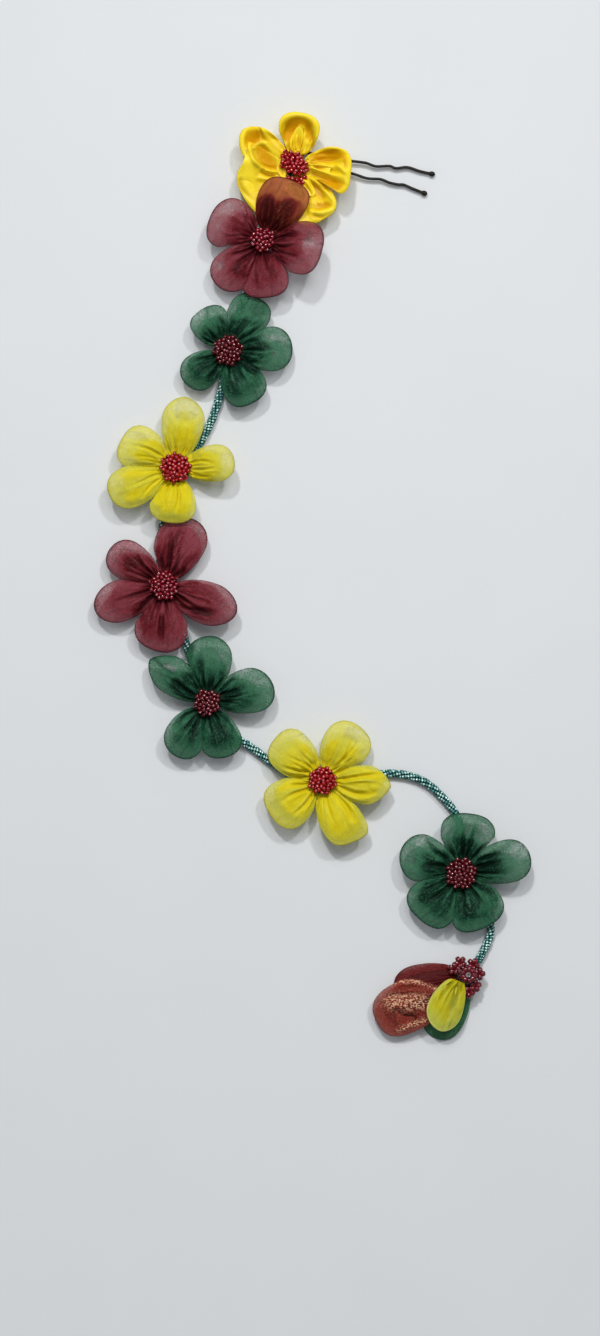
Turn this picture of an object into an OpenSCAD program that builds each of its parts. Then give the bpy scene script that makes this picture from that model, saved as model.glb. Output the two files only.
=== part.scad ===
// A trail of gathered fabric flowers for the hair, sewn to a beaded rope that hangs from a U-shaped pin.
// It lies on a flat surface at z = 0, seen from above, with the pin towards +Y. Sizes are in millimetres.

/* [Petals] */
// Distance from a flower's middle to the gathered root of its petals
root_r = 4.2; // [3.8:0.1:4.4]
// Height of the gathered cloth at a petal's root
root_h = 2.6; // [2.5:0.1:3]
// Half of the width of a petal's root
root_half = 2.6; // [2:0.1:3]
// Thickness of a petal's cloth wall
cloth = 1; // [0.8:0.1:1.1]
// Thickness of a cupped satin petal
satin = 1.6; // [1.2:0.1:2]
// Height of the folds that run out from a petal's root
fold_h = 0.4; // [0:0.1:0.5]
// Gap between neighbouring petals
seam = 0.3; // [0.2:0.1:0.5]

/* [Beads] */
// Diameter of the beaded rope
rope_d = 3.2; // [2.8:0.1:3.3]
// Height of the straight side of a flower's bead button
button_side = 1.2; // [0.8:0.1:1.6]
// Height of the rounded top of a flower's bead button
button_crown = 2; // [1:0.1:3]
// Radius of the bead loops in the tip cluster
loop_r = 2.1; // [1.8:0.1:2.4]
// Radius of the middle of the tip cluster
core_r = 3.5; // [3:0.1:4]

/* [Hair pin] */
// Diameter of the pin's wire
wire_d = 1.2; // [1:0.1:1.3]
// Diameter of the balls at the pin's tips
ball_d = 2.2; // [1.8:0.1:2.6]
// Height of the wire's middle at the bend
bend_z = 2.8; // [2.4:0.1:2.8]
// Radius of the bend, to the wire's middle
bend_r = 2; // [1.5:0.1:2.5]
// Angle by which the pin points below +X, seen from above
pin_turn = 12; // [0:1:20]

/* [Hidden] */
// Everything sewn to the rope lies above this height, clear of the rope and of the wire
sole_z = 3.7;
// Clearance between a bead button and the cloth under it
bead_gap = 0.3;

// Petals of each flower, anticlockwise from the one nearest to +Y. The columns are
// angle, reach from the flower's middle, width, lift of the outer part, puff or cup, tip, sideways bend.
// The tip is the power of the outline's end: below 2 is pointed, 2 is round, above 2 is blunt.
satin_petals = [
    [ 81, 21.3, 17.2, 3.5, 2.2, 2.2,  0],
    [148, 25.4, 18.0, 3.5, 2.2, 2.0,  0],
    [206, 24.8, 20.0, 0.8, 1.2, 2.4,  1],
    [302, 27.0, 14.0, 1.5, 1.5, 2.2,  1],
    [350, 24.7, 19.7, 3.5, 2.2, 2.6, -1],
];
maroon_a_petals = [
    [ 67, 27.0, 21.0, 6.8, 2.2, 2.4,  0],
    [153, 24.0, 22.0, 3.5, 2.6, 2.2,  1],
    [226, 27.0, 18.0, 1.5, 2.4, 2.2, -1],
    [272, 24.8, 20.0, 4.0, 2.4, 2.4,  0],
    [347, 25.5, 22.5, 9.0, 2.6, 2.6,  0],
];
green_a_petals = [
    [ 60, 25.8, 18.0, 0.8, 1.4, 2.4,  0],
    [122, 20.6, 16.8, 1.0, 2.6, 2.6,  0],
    [216, 22.3, 16.0, 1.0, 2.6, 2.2,  0],
    [295, 24.2, 18.4, 2.5, 2.6, 2.4,  0],
    [  2, 27.3, 18.5, 1.5, 3.0, 2.0,  0],
];
yellow_a_petals = [
    [ 81, 30.7, 17.6, 2.0, 2.4, 1.8,  0],
    [152, 26.0, 19.0, 2.5, 2.6, 2.4,  0],
    [203, 30.0, 17.6, 4.0, 2.6, 2.2,  0],
    [266, 23.6, 19.3, 4.4, 2.4, 2.2,  0],
    [  7, 25.0, 15.5, 5.0, 2.4, 2.2,  0],
];
maroon_b_petals = [
    [ 67, 30.3, 19.0, 0.5, 2.2, 2.0, -1],
    [145, 27.6, 16.4, 1.5, 2.6, 2.2,  0],
    [199, 30.5, 17.6, 1.5, 2.6, 2.0,  0],
    [266, 27.8, 22.0, 2.5, 2.6, 2.2,  0],
    [337, 32.0, 18.4, 4.5, 2.6, 1.8,  1],
];
green_b_petals = [
    [ 88, 27.8, 19.4, 1.5, 2.8, 2.2,  0],
    [141, 29.9, 16.0, 2.0, 2.4, 1.5,  1],
    [236, 26.2, 17.6, 2.5, 2.6, 2.0,  1],
    [290, 24.6, 17.4, 2.5, 2.6, 2.0,  0],
    [ 17, 28.8, 19.0, 3.0, 2.6, 2.0, -1],
];
yellow_b_petals = [
    [ 56, 27.4, 20.0, 2.0, 2.6, 2.4,  0],
    [138, 26.6, 19.0, 1.5, 2.6, 2.4,  0],
    [214, 26.6, 21.0, 3.0, 2.6, 2.2,  0],
    [294, 27.5, 18.0, 4.0, 2.4, 3.2,  1],
    [352, 29.0, 16.4, 4.0, 2.4, 1.6,  0],
];
green_c_petals = [
    [ 81, 25.7, 22.7, 1.5, 2.8, 2.2,  0],
    [159, 27.4, 20.0, 2.0, 2.6, 1.8,  0],
    [221, 26.0, 18.8, 2.0, 2.6, 2.4,  0],
    [299, 24.8, 20.0, 2.5, 2.6, 2.4,  0],
    [ 15, 29.7, 18.2, 3.5, 2.6, 2.2,  0],
];

// The columns are name, middle x and y, radius of the bead button, and petals.
flowers = [
    ["satin",     -7.8,  173.0, 5.2, satin_petals],
    ["maroon_a", -20.8,  141.1, 5.6, maroon_a_petals],
    ["green_a",  -35.5,   94.9, 6.7, green_a_petals],
    ["yellow_a", -57.3,   45.8, 6.9, yellow_a_petals],
    ["maroon_b", -62.0,   -3.4, 6.6, maroon_b_petals],
    ["green_b",  -44.1,  -52.3, 6.1, green_b_petals],
    ["yellow_b",   4.0,  -84.8, 6.4, yellow_b_petals],
    ["green_c",   62.2, -123.7, 7.0, green_c_petals],
];
// The satin flower's bead button is two buttons run together along this line.
satin_spread = 2.2;
satin_slant = -35;

// Half-open petals at the trail's tip. The columns are
// name, x and y that it is sewn to, angle, reach, width, underside height, tip, and the turns to
// its neighbours at the same height on the right and on the left. 180 means that there is none.
bud_petals = [
    ["green",  64.9, -165.9, 244, 30.6, 16.0, 0.4, 2.2,  53, 180],
    ["maroon", 64.9, -165.9, 191, 31.0, 15.5, 0.4, 2.2, 180,  53],
    ["gold",   64.9, -165.9, 208, 43.0, 22.0, 3.9, 2.8, 180, 180],
    ["yellow", 62.4, -164.6, 249, 26.5, 16.0, 7.4, 2.2, 180, 180],
];
bud_puff = 1;
// Distance from the point they are sewn to at which these petals start to puff
bud_skirt = 7.2;

// The tip cluster is a middle with loops of beads round it. The columns are angle, reach and height.
cluster_xy = [64.9, -165.9];
cluster_z = 7;
loop_neck = 1.6;
bead_loops = [
    [123, 6.5, 6.6],
    [158, 6.8, 7.0],
    [ 61, 5.3, 6.4],
    [  2, 5.3, 6.2],
    [302, 6.4, 6.0],
    [273, 8.0, 6.2],
];

// Points that the rope's middle line passes through, seen from above
rope_route = [
    [ -9, 171], [-14, 157], [-21, 141], [-26, 126], [-31, 110], [-35.5, 95], [-38, 80], [-43, 64.5],
    [-50.5, 52], [-57.5, 45.5], [-61.5, 34], [-63, 20.5], [-64, 8], [-62, -3.5], [-56.5, -17],
    [-52.5, -29], [-49, -42], [-44, -52.5], [-36, -64], [-25, -71.5], [-11, -81.5], [4, -85],
    [19, -83.5], [34, -82], [46, -85], [55, -92.5], [61, -101], [62.5, -112], [62, -124],
    [68, -136], [74, -144], [74, -151.5], [67, -165],
];
rope_steps = 2;
round_sides = 8;

// The pin's two crimped legs. The columns are distance from the bend and distance sideways.
bend_xy = [-11.6, 178.1];
upper_leg = [
    [0, bend_r], [22, 2.2], [28, 2.6], [34, 3.1], [38.5, 2.6],
    [44, 3.9], [47, 3.6], [51.5, 5], [57, 4.5], [62.5, 4.5],
];
lower_leg = [
    [0, -bend_r], [22, -2.2], [30, -2.5], [36, -3.1], [41.5, -2.3],
    [45.5, -2.9], [49, -2.9], [51.5, -2.5], [55, -3.2], [61, -4.3],
];
leg_length = 62.5;
bend_step = 22.5;

function petal_name(flower, i) = str(flower[0], "_petal_", i + 1);
function button_name(flower) = str(flower[0], "_beads");
function bud_name(row) = str("bud_petal_", row[0]);

satin_colour = "#f2cf1f";
maroon_colour = "#7d3440";
green_colour = "#2f6b4d";
yellow_colour = "#cfc437";
gold_colour = "#8a4433";
bead_colour = "#6e0f26";
rope_colour = "#1f6f68";
pin_colour = "#1c1b1d";
function cloth_colour(name) =
    name[0] == "s" ? satin_colour : name[0] == "m" ? maroon_colour :
    name == "gold" ? gold_colour : name[0] == "g" ? green_colour : yellow_colour;

function mix(a, b, t) = a + (b - a) * t;

// A closed skin over a list of rings with the same number of points, from one end point to another
function skin_points(first, rings, last) = concat([first], [for (r = rings) each r], [last]);
function skin_faces(rings, n) = concat(
    [for (k = [0:n - 1]) [0, 1 + (k + 1) % n, 1 + k]],
    [for (r = [0:rings - 2], k = [0:n - 1])
        let (a = 1 + r * n + k, b = 1 + r * n + (k + 1) % n) each [[a, b, b + n], [a, b + n, a + n]]],
    [for (k = [0:n - 1]) let (base = 1 + (rings - 1) * n) [base + k, base + (k + 1) % n, 1 + rings * n]]
);
module skin(first, rings, last)
    polyhedron(skin_points(first, rings, last), skin_faces(len(rings), len(rings[0])));

// A petal is drawn along +X from its flower's middle. Each of its rings has its right edge, five points
// over the top, its left edge and three points underneath.
across = [-1, -2 / 3, -1 / 3, 0, 1 / 3, 2 / 3, 1, 1 / 2, 0, -1 / 2];
level = [0, 1, 1, 1, 1, 1, 0, -1, -1, -1];
folds = [0, 1, -1, 1, -1, 1, 0, 0, 0, 0];
// How far along the open part of a petal its outer and inner rings stand
outer_steps = [0.24, 0.48, 0.7, 0.87, 0.965];
inner_steps = [0.24, 0.48, 0.74];
inner_end = 0.86;
belly = 0.62;
fullness = 0.75;
rim = 0.42;
side_wall = 1.6;

function half_width(t, widest, tip) = t < belly
    ? mix(root_half, widest, pow(sin(90 * t / belly), fullness))
    : widest * pow(1 - pow((t - belly) / (1 - belly), tip), 1 / tip);
// Sideways room at distance d before a petal reaches the middle between it and its neighbour
function room(d, turn) = turn > 150 ? d * 4 : d * tan(turn / 2) - seam / 2 / cos(turn / 2);
// A petal's right and left edge at distance d. shape is reach, width, tip, bend, and the turns to the
// neighbours on the right and on the left.
function edges(d, shape) =
    let (t = (d - root_r) / (shape[0] - root_r), half = half_width(t, shape[1] / 2, shape[2]),
        bend = shape[3] * t * t)
    [max(bend - half, -room(d, shape[4])), min(bend + half, room(d, shape[5]))];
function turn_between(a, b) = (b - a + 720) % 360;

// Height of a pouch at a share s of its open part, and of the folds in its top
function pouch_h(s, puff) = root_h * (1 - 0.4 * s) + puff * sin(180 * pow(s, 0.8));
function fold(s) = s > 0 ? fold_h * max(0, 1 - 1.6 * s) : 0;
function pouch_ring(d, right, left, under, h, rim_share, ridge) = [for (k = [0:9])
    let (q = across[k], lens = level[k] < 0 ? rim_share * q * q : 1 - (1 - rim_share) * q * q)
    [d, mix(right, left, (q + 1) / 2), under + h * lens + ridge * folds[k]]];
function outer_ring(d, s, under, puff, shape) =
    let (e = edges(d, shape))
    pouch_ring(d, e[0], e[1], under, pouch_h(s, puff), rim, fold(s));
function inner_ring(d, s, under, puff, shape) =
    let (e = edges(d, shape), h = pouch_h(s, puff), wall = min(side_wall, 0.22 * (e[1] - e[0])))
    pouch_ring(d, e[0] + wall, e[1] - wall, under + cloth, h - 2 * cloth,
        (rim * h - cloth) / (h - 2 * cloth), fold(s));

// A folded pouch of thin cloth with a hollow inside. under is the height of its underside at the root,
// and skirt is the distance from the middle at which it starts to puff, just outside the beads.
module pouch(skirt, under, lift, puff, shape) {
    reach = shape[0];
    function at(s) = mix(skirt, reach, s);
    function sole(s) = under + lift * sin(90 * s);
    outer = concat(
        [outer_ring(root_r, 0, under, puff, shape), outer_ring(skirt, 0, under, puff, shape)],
        [for (s = outer_steps) outer_ring(at(s), s, sole(s), puff, shape)]
    );
    inner = concat(
        [inner_ring(root_r, 0, under, puff, shape), inner_ring(skirt, 0, under, puff, shape)],
        [for (s = inner_steps) inner_ring(at(s), s, sole(s), puff, shape)]
    );
    tip = [reach, shape[3], sole(1) + rim * pouch_h(1, puff)];
    inner_tip = [at(inner_end), shape[3] * inner_end, sole(inner_end) + pouch_h(inner_end, puff) / 2];
    skin(tip, concat([for (i = [len(outer) - 1:-1:0]) outer[i]], inner), inner_tip);
}

// A cupped petal of folded satin with its rim standing up all round
function cup_rise(q, s, cup) = let (side = q * q * min(1, s / 0.3)) cup * (side + (1 - side) * s * s * s);
function cup_ring(d, s, under, cup, shape) =
    let (e = edges(d, shape), h = mix(root_h, satin, min(1, 3 * s)))
    [for (k = [0:9]) let (q = across[k])
        [d, mix(e[0], e[1], (q + 1) / 2),
            under + h * (level[k] + 1) / 2 + cup_rise(q, s, cup) + fold(s) * folds[k]]];
module cup(skirt, under, lift, depth, shape) {
    reach = shape[0];
    function at(s) = mix(skirt, reach, s);
    function sole(s) = under + lift * sin(90 * s);
    rings = concat(
        [for (i = [len(outer_steps) - 1:-1:0]) let (s = outer_steps[i])
            cup_ring(at(s), s, sole(s), depth, shape)],
        [cup_ring(skirt, 0, under, depth, shape), cup_ring(root_r, 0, under, depth, shape)]
    );
    skin([reach, shape[3], sole(1) + satin / 2 + depth], rings, [root_r, 0, under + root_h / 2]);
}

module petal(flower, i) {
    rows = flower[4];
    row = rows[i];
    count = len(rows);
    before = rows[(i + count - 1) % count];
    after = rows[(i + 1) % count];
    shape = [row[1], row[2], row[5], row[6],
        turn_between(before[0], row[0]), turn_between(row[0], after[0])];
    skirt = flower[3] + (flower[0] == "satin" ? satin_spread : 0) + 0.5;
    color(cloth_colour(flower[0])) translate([flower[1], flower[2], 0]) rotate(row[0])
        if (flower[0] == "satin") cup(skirt, sole_z, row[3], row[4], shape);
        else pouch(skirt, sole_z, row[3], row[4], shape);
}

// Seed beads sewn close together over a flower's middle
bead_sides = 48;
module button(r) {
    cap_r = (r * r + button_crown * button_crown) / (2 * button_crown);
    cylinder(h = button_side, r = r, $fn = bead_sides);
    translate([0, 0, button_side]) intersection() {
        translate([0, 0, button_crown - cap_r]) sphere(r = cap_r, $fn = 2 * bead_sides);
        cylinder(h = button_crown, r = r, $fn = bead_sides);
    }
}
module bead_button(flower) color(bead_colour)
    translate([flower[1], flower[2], sole_z + root_h + bead_gap])
        if (flower[0] == "satin") rotate(satin_slant)
            for (side = [-1, 1]) translate([side * satin_spread, 0, 0]) button(flower[3]);
        else button(flower[3]);

module bud_petal(row) color(cloth_colour(row[0]))
    translate([row[1], row[2], 0]) rotate(row[3])
        pouch(bud_skirt, row[6], 0, bud_puff, [row[4], row[5], row[7], 0, row[8], row[9]]);

module bud_beads() color(bead_colour) translate(cluster_xy) {
    translate([0, 0, cluster_z]) sphere(r = core_r, $fn = bead_sides);
    for (row = bead_loops) rotate(row[0]) {
        translate([row[1], 0, row[2]]) sphere(r = loop_r, $fn = bead_sides);
        translate([0, 0, row[2]]) rotate([0, 90, 0]) cylinder(h = row[1], r = loop_neck, $fn = bead_sides);
    }
}

// Rings round a flat line at height z. Each station of the line is x, y and the radius there.
function sweep_rings(line, z) = let (last = len(line) - 1) [for (i = [0:last])
    let (step = line[min(i + 1, last)] - line[max(i - 1, 0)], way = [step[0], step[1]],
        side = [-way[1], way[0]] / norm(way), corner_r = line[i][2] / cos(180 / round_sides))
    [for (k = [0:round_sides - 1]) let (a = 360 * (k + 0.5) / round_sides)
        [line[i][0] + side[0] * corner_r * cos(a), line[i][1] + side[1] * corner_r * cos(a),
            z + corner_r * sin(a)]]];

function on_route(i, t) =
    let (last = len(rope_route) - 1, a = rope_route[max(i - 1, 0)], b = rope_route[i],
        c = rope_route[min(i + 1, last)], d = rope_route[min(i + 2, last)])
    (2 * b + (c - a) * t + (2 * a - 5 * b + 4 * c - d) * t * t + (3 * b - a - 3 * c + d) * t * t * t) / 2;
module beaded_rope() {
    last = len(rope_route) - 1;
    line = concat(
        [for (i = [0:last - 1], k = [0:rope_steps - 1]) concat(on_route(i, k / rope_steps), rope_d / 2)],
        [concat(rope_route[last], rope_d / 2)]
    );
    color(rope_colour)
        skin(concat(rope_route[0], rope_d / 2), sweep_rings(line, rope_d / 2),
            concat(rope_route[last], rope_d / 2));
}

// A ball round the tip of a leg, from its far end back to the wire. The columns are
// how far out from the ball's middle and how wide, as shares of its radius.
ball_shape = [[0.9, 0.44], [0.6, 0.8], [0, 1], [-0.6, 0.8], [-0.84, 0.54]];
function out_of(leg) = let (last = len(leg) - 1, way = leg[last] - leg[last - 1]) way / norm(way);
function ball(leg) = [for (row = ball_shape)
    concat(leg[len(leg) - 1] + out_of(leg) * row[0] * ball_d / 2, row[1] * ball_d / 2)];
function ball_end(leg) = concat(leg[len(leg) - 1] + out_of(leg) * ball_d / 2, 0);
// A leg's stations between its ball and the bend
function shank(leg) = [for (i = [len(leg) - 2:-1:1]) concat(leg[i], wire_d / 2)];
function backwards(list) = [for (i = [len(list) - 1:-1:0]) list[i]];
module hair_pin() {
    bend = [for (a = [90:bend_step:270]) [bend_r * cos(a), bend_r * sin(a), wire_d / 2]];
    line = concat(ball(upper_leg), shank(upper_leg), bend,
        backwards(shank(lower_leg)), backwards(ball(lower_leg)));
    color(pin_colour) translate([bend_xy[0], bend_xy[1], bend_z])
        rotate([0, asin((bend_z - ball_d / 2) / leg_length), -pin_turn])
            skin(ball_end(upper_leg), sweep_rings(line, 0), ball_end(lower_leg));
}

for (f = flowers, i = [0:len(f[4]) - 1])
    petal(f, i);
for (f = flowers)
    bead_button(f);
for (row = bud_petals)
    bud_petal(row);
bud_beads();
beaded_rope();
hair_pin();
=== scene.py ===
import math

import bpy
import numpy as np
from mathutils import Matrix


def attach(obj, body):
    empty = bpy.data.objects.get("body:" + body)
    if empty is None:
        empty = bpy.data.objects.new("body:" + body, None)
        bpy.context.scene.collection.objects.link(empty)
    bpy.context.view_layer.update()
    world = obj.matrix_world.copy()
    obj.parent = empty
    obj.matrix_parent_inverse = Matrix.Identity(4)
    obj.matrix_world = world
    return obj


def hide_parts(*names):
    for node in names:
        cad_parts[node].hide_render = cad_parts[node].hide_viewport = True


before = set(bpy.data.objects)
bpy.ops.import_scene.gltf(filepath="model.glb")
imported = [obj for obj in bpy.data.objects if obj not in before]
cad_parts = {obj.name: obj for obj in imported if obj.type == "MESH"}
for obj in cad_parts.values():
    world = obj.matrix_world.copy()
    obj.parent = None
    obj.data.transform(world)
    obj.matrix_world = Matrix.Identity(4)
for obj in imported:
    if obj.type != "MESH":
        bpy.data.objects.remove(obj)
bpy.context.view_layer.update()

MM = 0.001


# Camera, light and floor

PHOTO_W, PHOTO_H = 600, 1336
MM_PER_PIXEL = 0.42
# The photo's pixel over the middle of the part
MIDDLE_PIXEL = (312.5, 578)
SENSOR = 36
# In metres
CAMERA_HEIGHT = 1.5
FLOOR_HALF = 3
LAMP_COLOUR = (1, 0.985, 0.955)
# Two lamps beyond the upper edge of the photo give each petal its two shadows. The columns are name, kind,
# place in metres, energy, and what sets its size.
LAMPS = (
    ("left_lamp", "SUN", (-0.16, 0.6, 0.75), 1.12, "angle", math.radians(5)),
    ("right_lamp", "SUN", (0.36, 0.58, 0.75), 0.78, "angle", math.radians(5)),
    ("softbox", "AREA", (0.03, 0.34, 0.63), 1.68, "size", 0.4),
)
SKY_COLOUR = (0.96, 0.98, 1, 1)
SKY_STRENGTH = 0.24


def add_object(name, data):
    """A new object with this data in the scene."""
    added = bpy.data.objects.new(name, data)
    bpy.context.scene.collection.objects.link(added)
    return added


def add_camera():
    data = bpy.data.cameras.new("camera")
    data.sensor_width = SENSOR
    data.lens = SENSOR * CAMERA_HEIGHT / (PHOTO_H * MM_PER_PIXEL * MM)
    camera = add_object("camera", data)
    across = (PHOTO_W / 2 - MIDDLE_PIXEL[0]) * MM_PER_PIXEL * MM
    up = (MIDDLE_PIXEL[1] - PHOTO_H / 2) * MM_PER_PIXEL * MM
    camera.location = (across, up, CAMERA_HEIGHT)
    bpy.context.scene.camera = camera


def add_light(name, kind, place, energy, setting, size):
    """A lamp that points at the part."""
    data = bpy.data.lights.new(name, kind)
    data.energy = energy
    data.color = LAMP_COLOUR
    setattr(data, setting, size)
    light = add_object(name, data)
    light.location = place
    x, y, z = place
    light.rotation_euler = (math.atan2(math.hypot(x, y), z), 0, math.atan2(x, -y))


def add_lights():
    for lamp in LAMPS:
        add_light(*lamp)
    world = bpy.data.worlds.new("world")
    world.use_nodes = True
    background = world.node_tree.nodes["Background"]
    background.inputs["Color"].default_value = SKY_COLOUR
    background.inputs["Strength"].default_value = SKY_STRENGTH
    bpy.context.scene.world = world
    bpy.context.scene.view_settings.view_transform = "Standard"


add_camera()
add_lights()


# Materials


def srgb(levels):
    """A colour given as the 0 to 255 levels of a screen, in the shader's linear values."""
    shares = [level / 255 for level in levels]
    return tuple(s / 12.92 if s <= 0.04045 else ((s + 0.055) / 1.055) ** 2.4 for s in shares)


class Nodes:
    """Short calls for the nodes of one material. Every input is a number, another node's output, or a
    colour as three levels from 0 to 255."""

    def __init__(self, name):
        self.material = bpy.data.materials.new(name)
        self.material.use_nodes = True
        self.tree = self.material.node_tree
        self.shader = self.tree.nodes["Principled BSDF"]

    def put(self, socket, value):
        if isinstance(value, bpy.types.NodeSocket):
            self.tree.links.new(value, socket)
        else:
            socket.default_value = (*srgb(value), 1) if socket.type == "RGBA" else value

    def add(self, kind, inputs, output=0, **settings):
        node = self.tree.nodes.new(kind)
        for key, value in settings.items():
            setattr(node, key, value)
        for key, value in inputs.items():
            self.put(node.inputs[key], value)
        return node.outputs[output]

    def set(self, **values):
        for key, value in values.items():
            self.put(self.shader.inputs[key.replace("_", " ")], value)

    def math(self, operation, a, b, clamp=False):
        return self.add("ShaderNodeMath", {0: a, 1: b}, operation=operation, use_clamp=clamp)

    def times(self, a, b, clamp=False):
        return self.math("MULTIPLY", a, b, clamp)

    def total(self, *terms, clamp=False):
        value = terms[0]
        for number, term in enumerate(terms[1:], 2):
            value = self.math("ADD", value, term, clamp and number == len(terms))
        return value

    def mix(self, share, a, b):
        return self.add("ShaderNodeMix", {"Factor": share, "A": a, "B": b}, "Result", data_type="RGBA")

    def layers(self, colour, *others):
        """A colour with others laid over it in turn, each with its share."""
        for share, other in others:
            colour = self.mix(share, colour, other)
        return colour

    def ramp(self, value, low, high, to_low=0, to_high=1):
        return self.add("ShaderNodeMapRange", {
            "Value": value, "From Min": low, "From Max": high, "To Min": to_low, "To Max": to_high,
        })

    def attributes(self, *names):
        return [self.add("ShaderNodeAttribute", {}, "Fac", attribute_name=name) for name in names]

    def cloth(self):
        """Metres along the cloth's own directions."""
        return self.add("ShaderNodeUVMap", {}, uv_map="cloth")

    def noise(self, size, detail=2, where=None, stretch=None):
        """Noise whose features are about this many millimetres wide."""
        where = where or self.add("ShaderNodeTexCoord", {}, "Object")
        if stretch:
            where = self.add("ShaderNodeMapping", {"Vector": where, "Scale": stretch})
        return self.add("ShaderNodeTexNoise", {
            "Vector": where, "Scale": 1 / (size * MM), "Detail": detail, "Roughness": 0.55,
        }, "Fac")

    def weave(self, thread):
        """Warp and weft threads, one thread wide in millimetres, along the cloth's own directions."""
        inputs = {
            "Vector": self.cloth(), "Scale": 0.314 / (thread * MM), "Distortion": 0.6, "Detail Scale": 40,
        }
        return self.math("MAXIMUM", *(
            self.add("ShaderNodeTexWave", inputs, "Fac", bands_direction=way) for way in "XY"))

    def bump(self, height, depth, strength=1):
        """A bump map that is depth millimetres deep."""
        self.set(Normal=self.add("ShaderNodeBump", {
            "Height": height, "Strength": strength, "Distance": depth * MM}))


def organza(name, pale, deep, fold, hem, rim_alpha, deep_alpha, grain_and_glint, streak):
    """Sheer cloth: see-through near its folded rim, and denser where more of it is gathered."""
    nodes = Nodes(name)
    density_and_shade, light, crease, edge = nodes.attributes("density_and_shade", "light", "crease", "hem")
    specks = nodes.noise(0.75)
    streaks = nodes.noise(1.3, 3, nodes.cloth(), (1, 0.2, 1))
    threads = nodes.weave(0.3)
    uneven = 0.1 + 0.26 * grain_and_glint
    # The light attribute thins the cloth: partly thinner cloth and partly painted highlight.
    thick = nodes.total(
        density_and_shade, nodes.ramp(nodes.noise(3.5, 3), 0.3, 0.7, -uneven, uneven),
        nodes.ramp(nodes.noise(1.5), 0.35, 0.65, -0.6 * uneven, 0.6 * uneven), nodes.times(light, -0.9))
    glint = nodes.times(nodes.ramp(specks, 0.5, 0.66), nodes.total(grain_and_glint, light), clamp=True)
    # The glints are painted sparkle of sheen, and the crease share lays painted shade of the fold colour into
    # the creases.
    colour = nodes.layers(
        pale, (nodes.ramp(thick, 0, 1), deep), (nodes.ramp(thick, 1, 1.8, 0, 0.75), fold),
        (nodes.times(glint, 0.7), pale), (nodes.ramp(streaks, 0.54, 0.68, 0, streak), pale),
        (nodes.ramp(streaks, 0.46, 0.34, 0, 0.3), fold), (nodes.times(crease, 0.72, clamp=True), fold),
        (nodes.times(edge, 0.8), hem))
    alpha = nodes.total(
        nodes.ramp(thick, 0, 1, rim_alpha, deep_alpha),
        nodes.times(nodes.ramp(specks, 0.35, 0.65, -0.2, 0.2), grain_and_glint), nodes.times(crease, 0.3),
        nodes.times(edge, 0.3), nodes.ramp(threads, 0, 1, -0.05, 0.05), clamp=True)
    nodes.set(Base_Color=colour, Alpha=nodes.times(alpha, nodes.ramp(thick, -1, -0.2)), Roughness=0.5,
              Specular_IOR_Level=0.1, Sheen_Weight=0.03, Sheen_Roughness=0.35, Sheen_Tint=pale)
    nodes.bump(nodes.total(nodes.noise(2.2, 3), nodes.times(threads, 0.12)), 0.35, 0.7)
    return nodes.material


def satin(name):
    """Soft glossy lemon satin, with golden painted shade in its pockets and creases and lemon painted
    highlight on its ridges and rolled rims.
    """
    nodes = Nodes(name)
    density_and_shade, light, crease = nodes.attributes("density_and_shade", "light", "crease")
    # The golden colour is painted shade in the pockets, the pale lemon is painted highlight, and the darker
    # gold paints shade into the creases.
    gold = nodes.total(density_and_shade, nodes.ramp(nodes.noise(3), 0.35, 0.65, -0.15, 0.15), clamp=True)
    colour = nodes.layers(
        (240, 208, 16), (gold, (213, 154, 1)), (light, (255, 228, 40)),
        (nodes.times(crease, 0.6, clamp=True), (196, 142, 4)))
    nodes.set(Base_Color=colour, Roughness=0.46, Specular_IOR_Level=nodes.ramp(gold, 0, 1, 0.4, 0.1),
              Sheen_Weight=nodes.ramp(gold, 0, 0.8, 0.14, 0), Sheen_Roughness=0.3, Sheen_Tint=(255, 250, 170))
    nodes.bump(nodes.total(nodes.noise(2.5), nodes.times(nodes.weave(0.2), 0.06)), 0.25, 0.5)
    return nodes.material


def shot_organza(name):
    """Rust-red organza shot with gold threads, with painted glitter on them most along the middle of the
    petal and on its ridges, and painted shade in its creases and its hollow.
    """
    nodes = Nodes(name)
    density_and_shade, crease, edge, glitter, plain = nodes.attributes("density_and_shade", "crease", "hem", "glitter", "plain")
    flecks = nodes.noise(0.9, 3, stretch=(1, 1.6, 1))
    glitter = nodes.times(glitter, nodes.math("SUBTRACT", 1, plain))
    lit = nodes.times(nodes.ramp(flecks, 0.47, 0.6), glitter, clamp=True)
    # The darkest rust is painted shade in the hollow and the creases, and the pale gold is the gold threads
    # with painted glitter on them.
    colour = nodes.layers(
        (156, 60, 48), (density_and_shade, (118, 30, 24)), (nodes.ramp(density_and_shade, 1, 1.9), (58, 8, 6)),
        (nodes.times(crease, 0.9, clamp=True), (56, 8, 6)), (nodes.times(edge, 0.5), (110, 66, 58)),
        (plain, nodes.mix(flecks, (58, 4, 6), (96, 14, 16))), (lit, (244, 198, 160)))
    alpha = nodes.total(nodes.ramp(density_and_shade, 0, 1, 0.62, 0.93), nodes.times(lit, 0.4), clamp=True)
    nodes.set(Base_Color=colour, Alpha=alpha, Roughness=0.45, Specular_IOR_Level=0.12, Sheen_Weight=0.04,
              Sheen_Roughness=0.35, Sheen_Tint=(240, 180, 140))
    nodes.bump(nodes.total(flecks, nodes.noise(2.4)), 0.4, 0.8)
    return nodes.material


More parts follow.
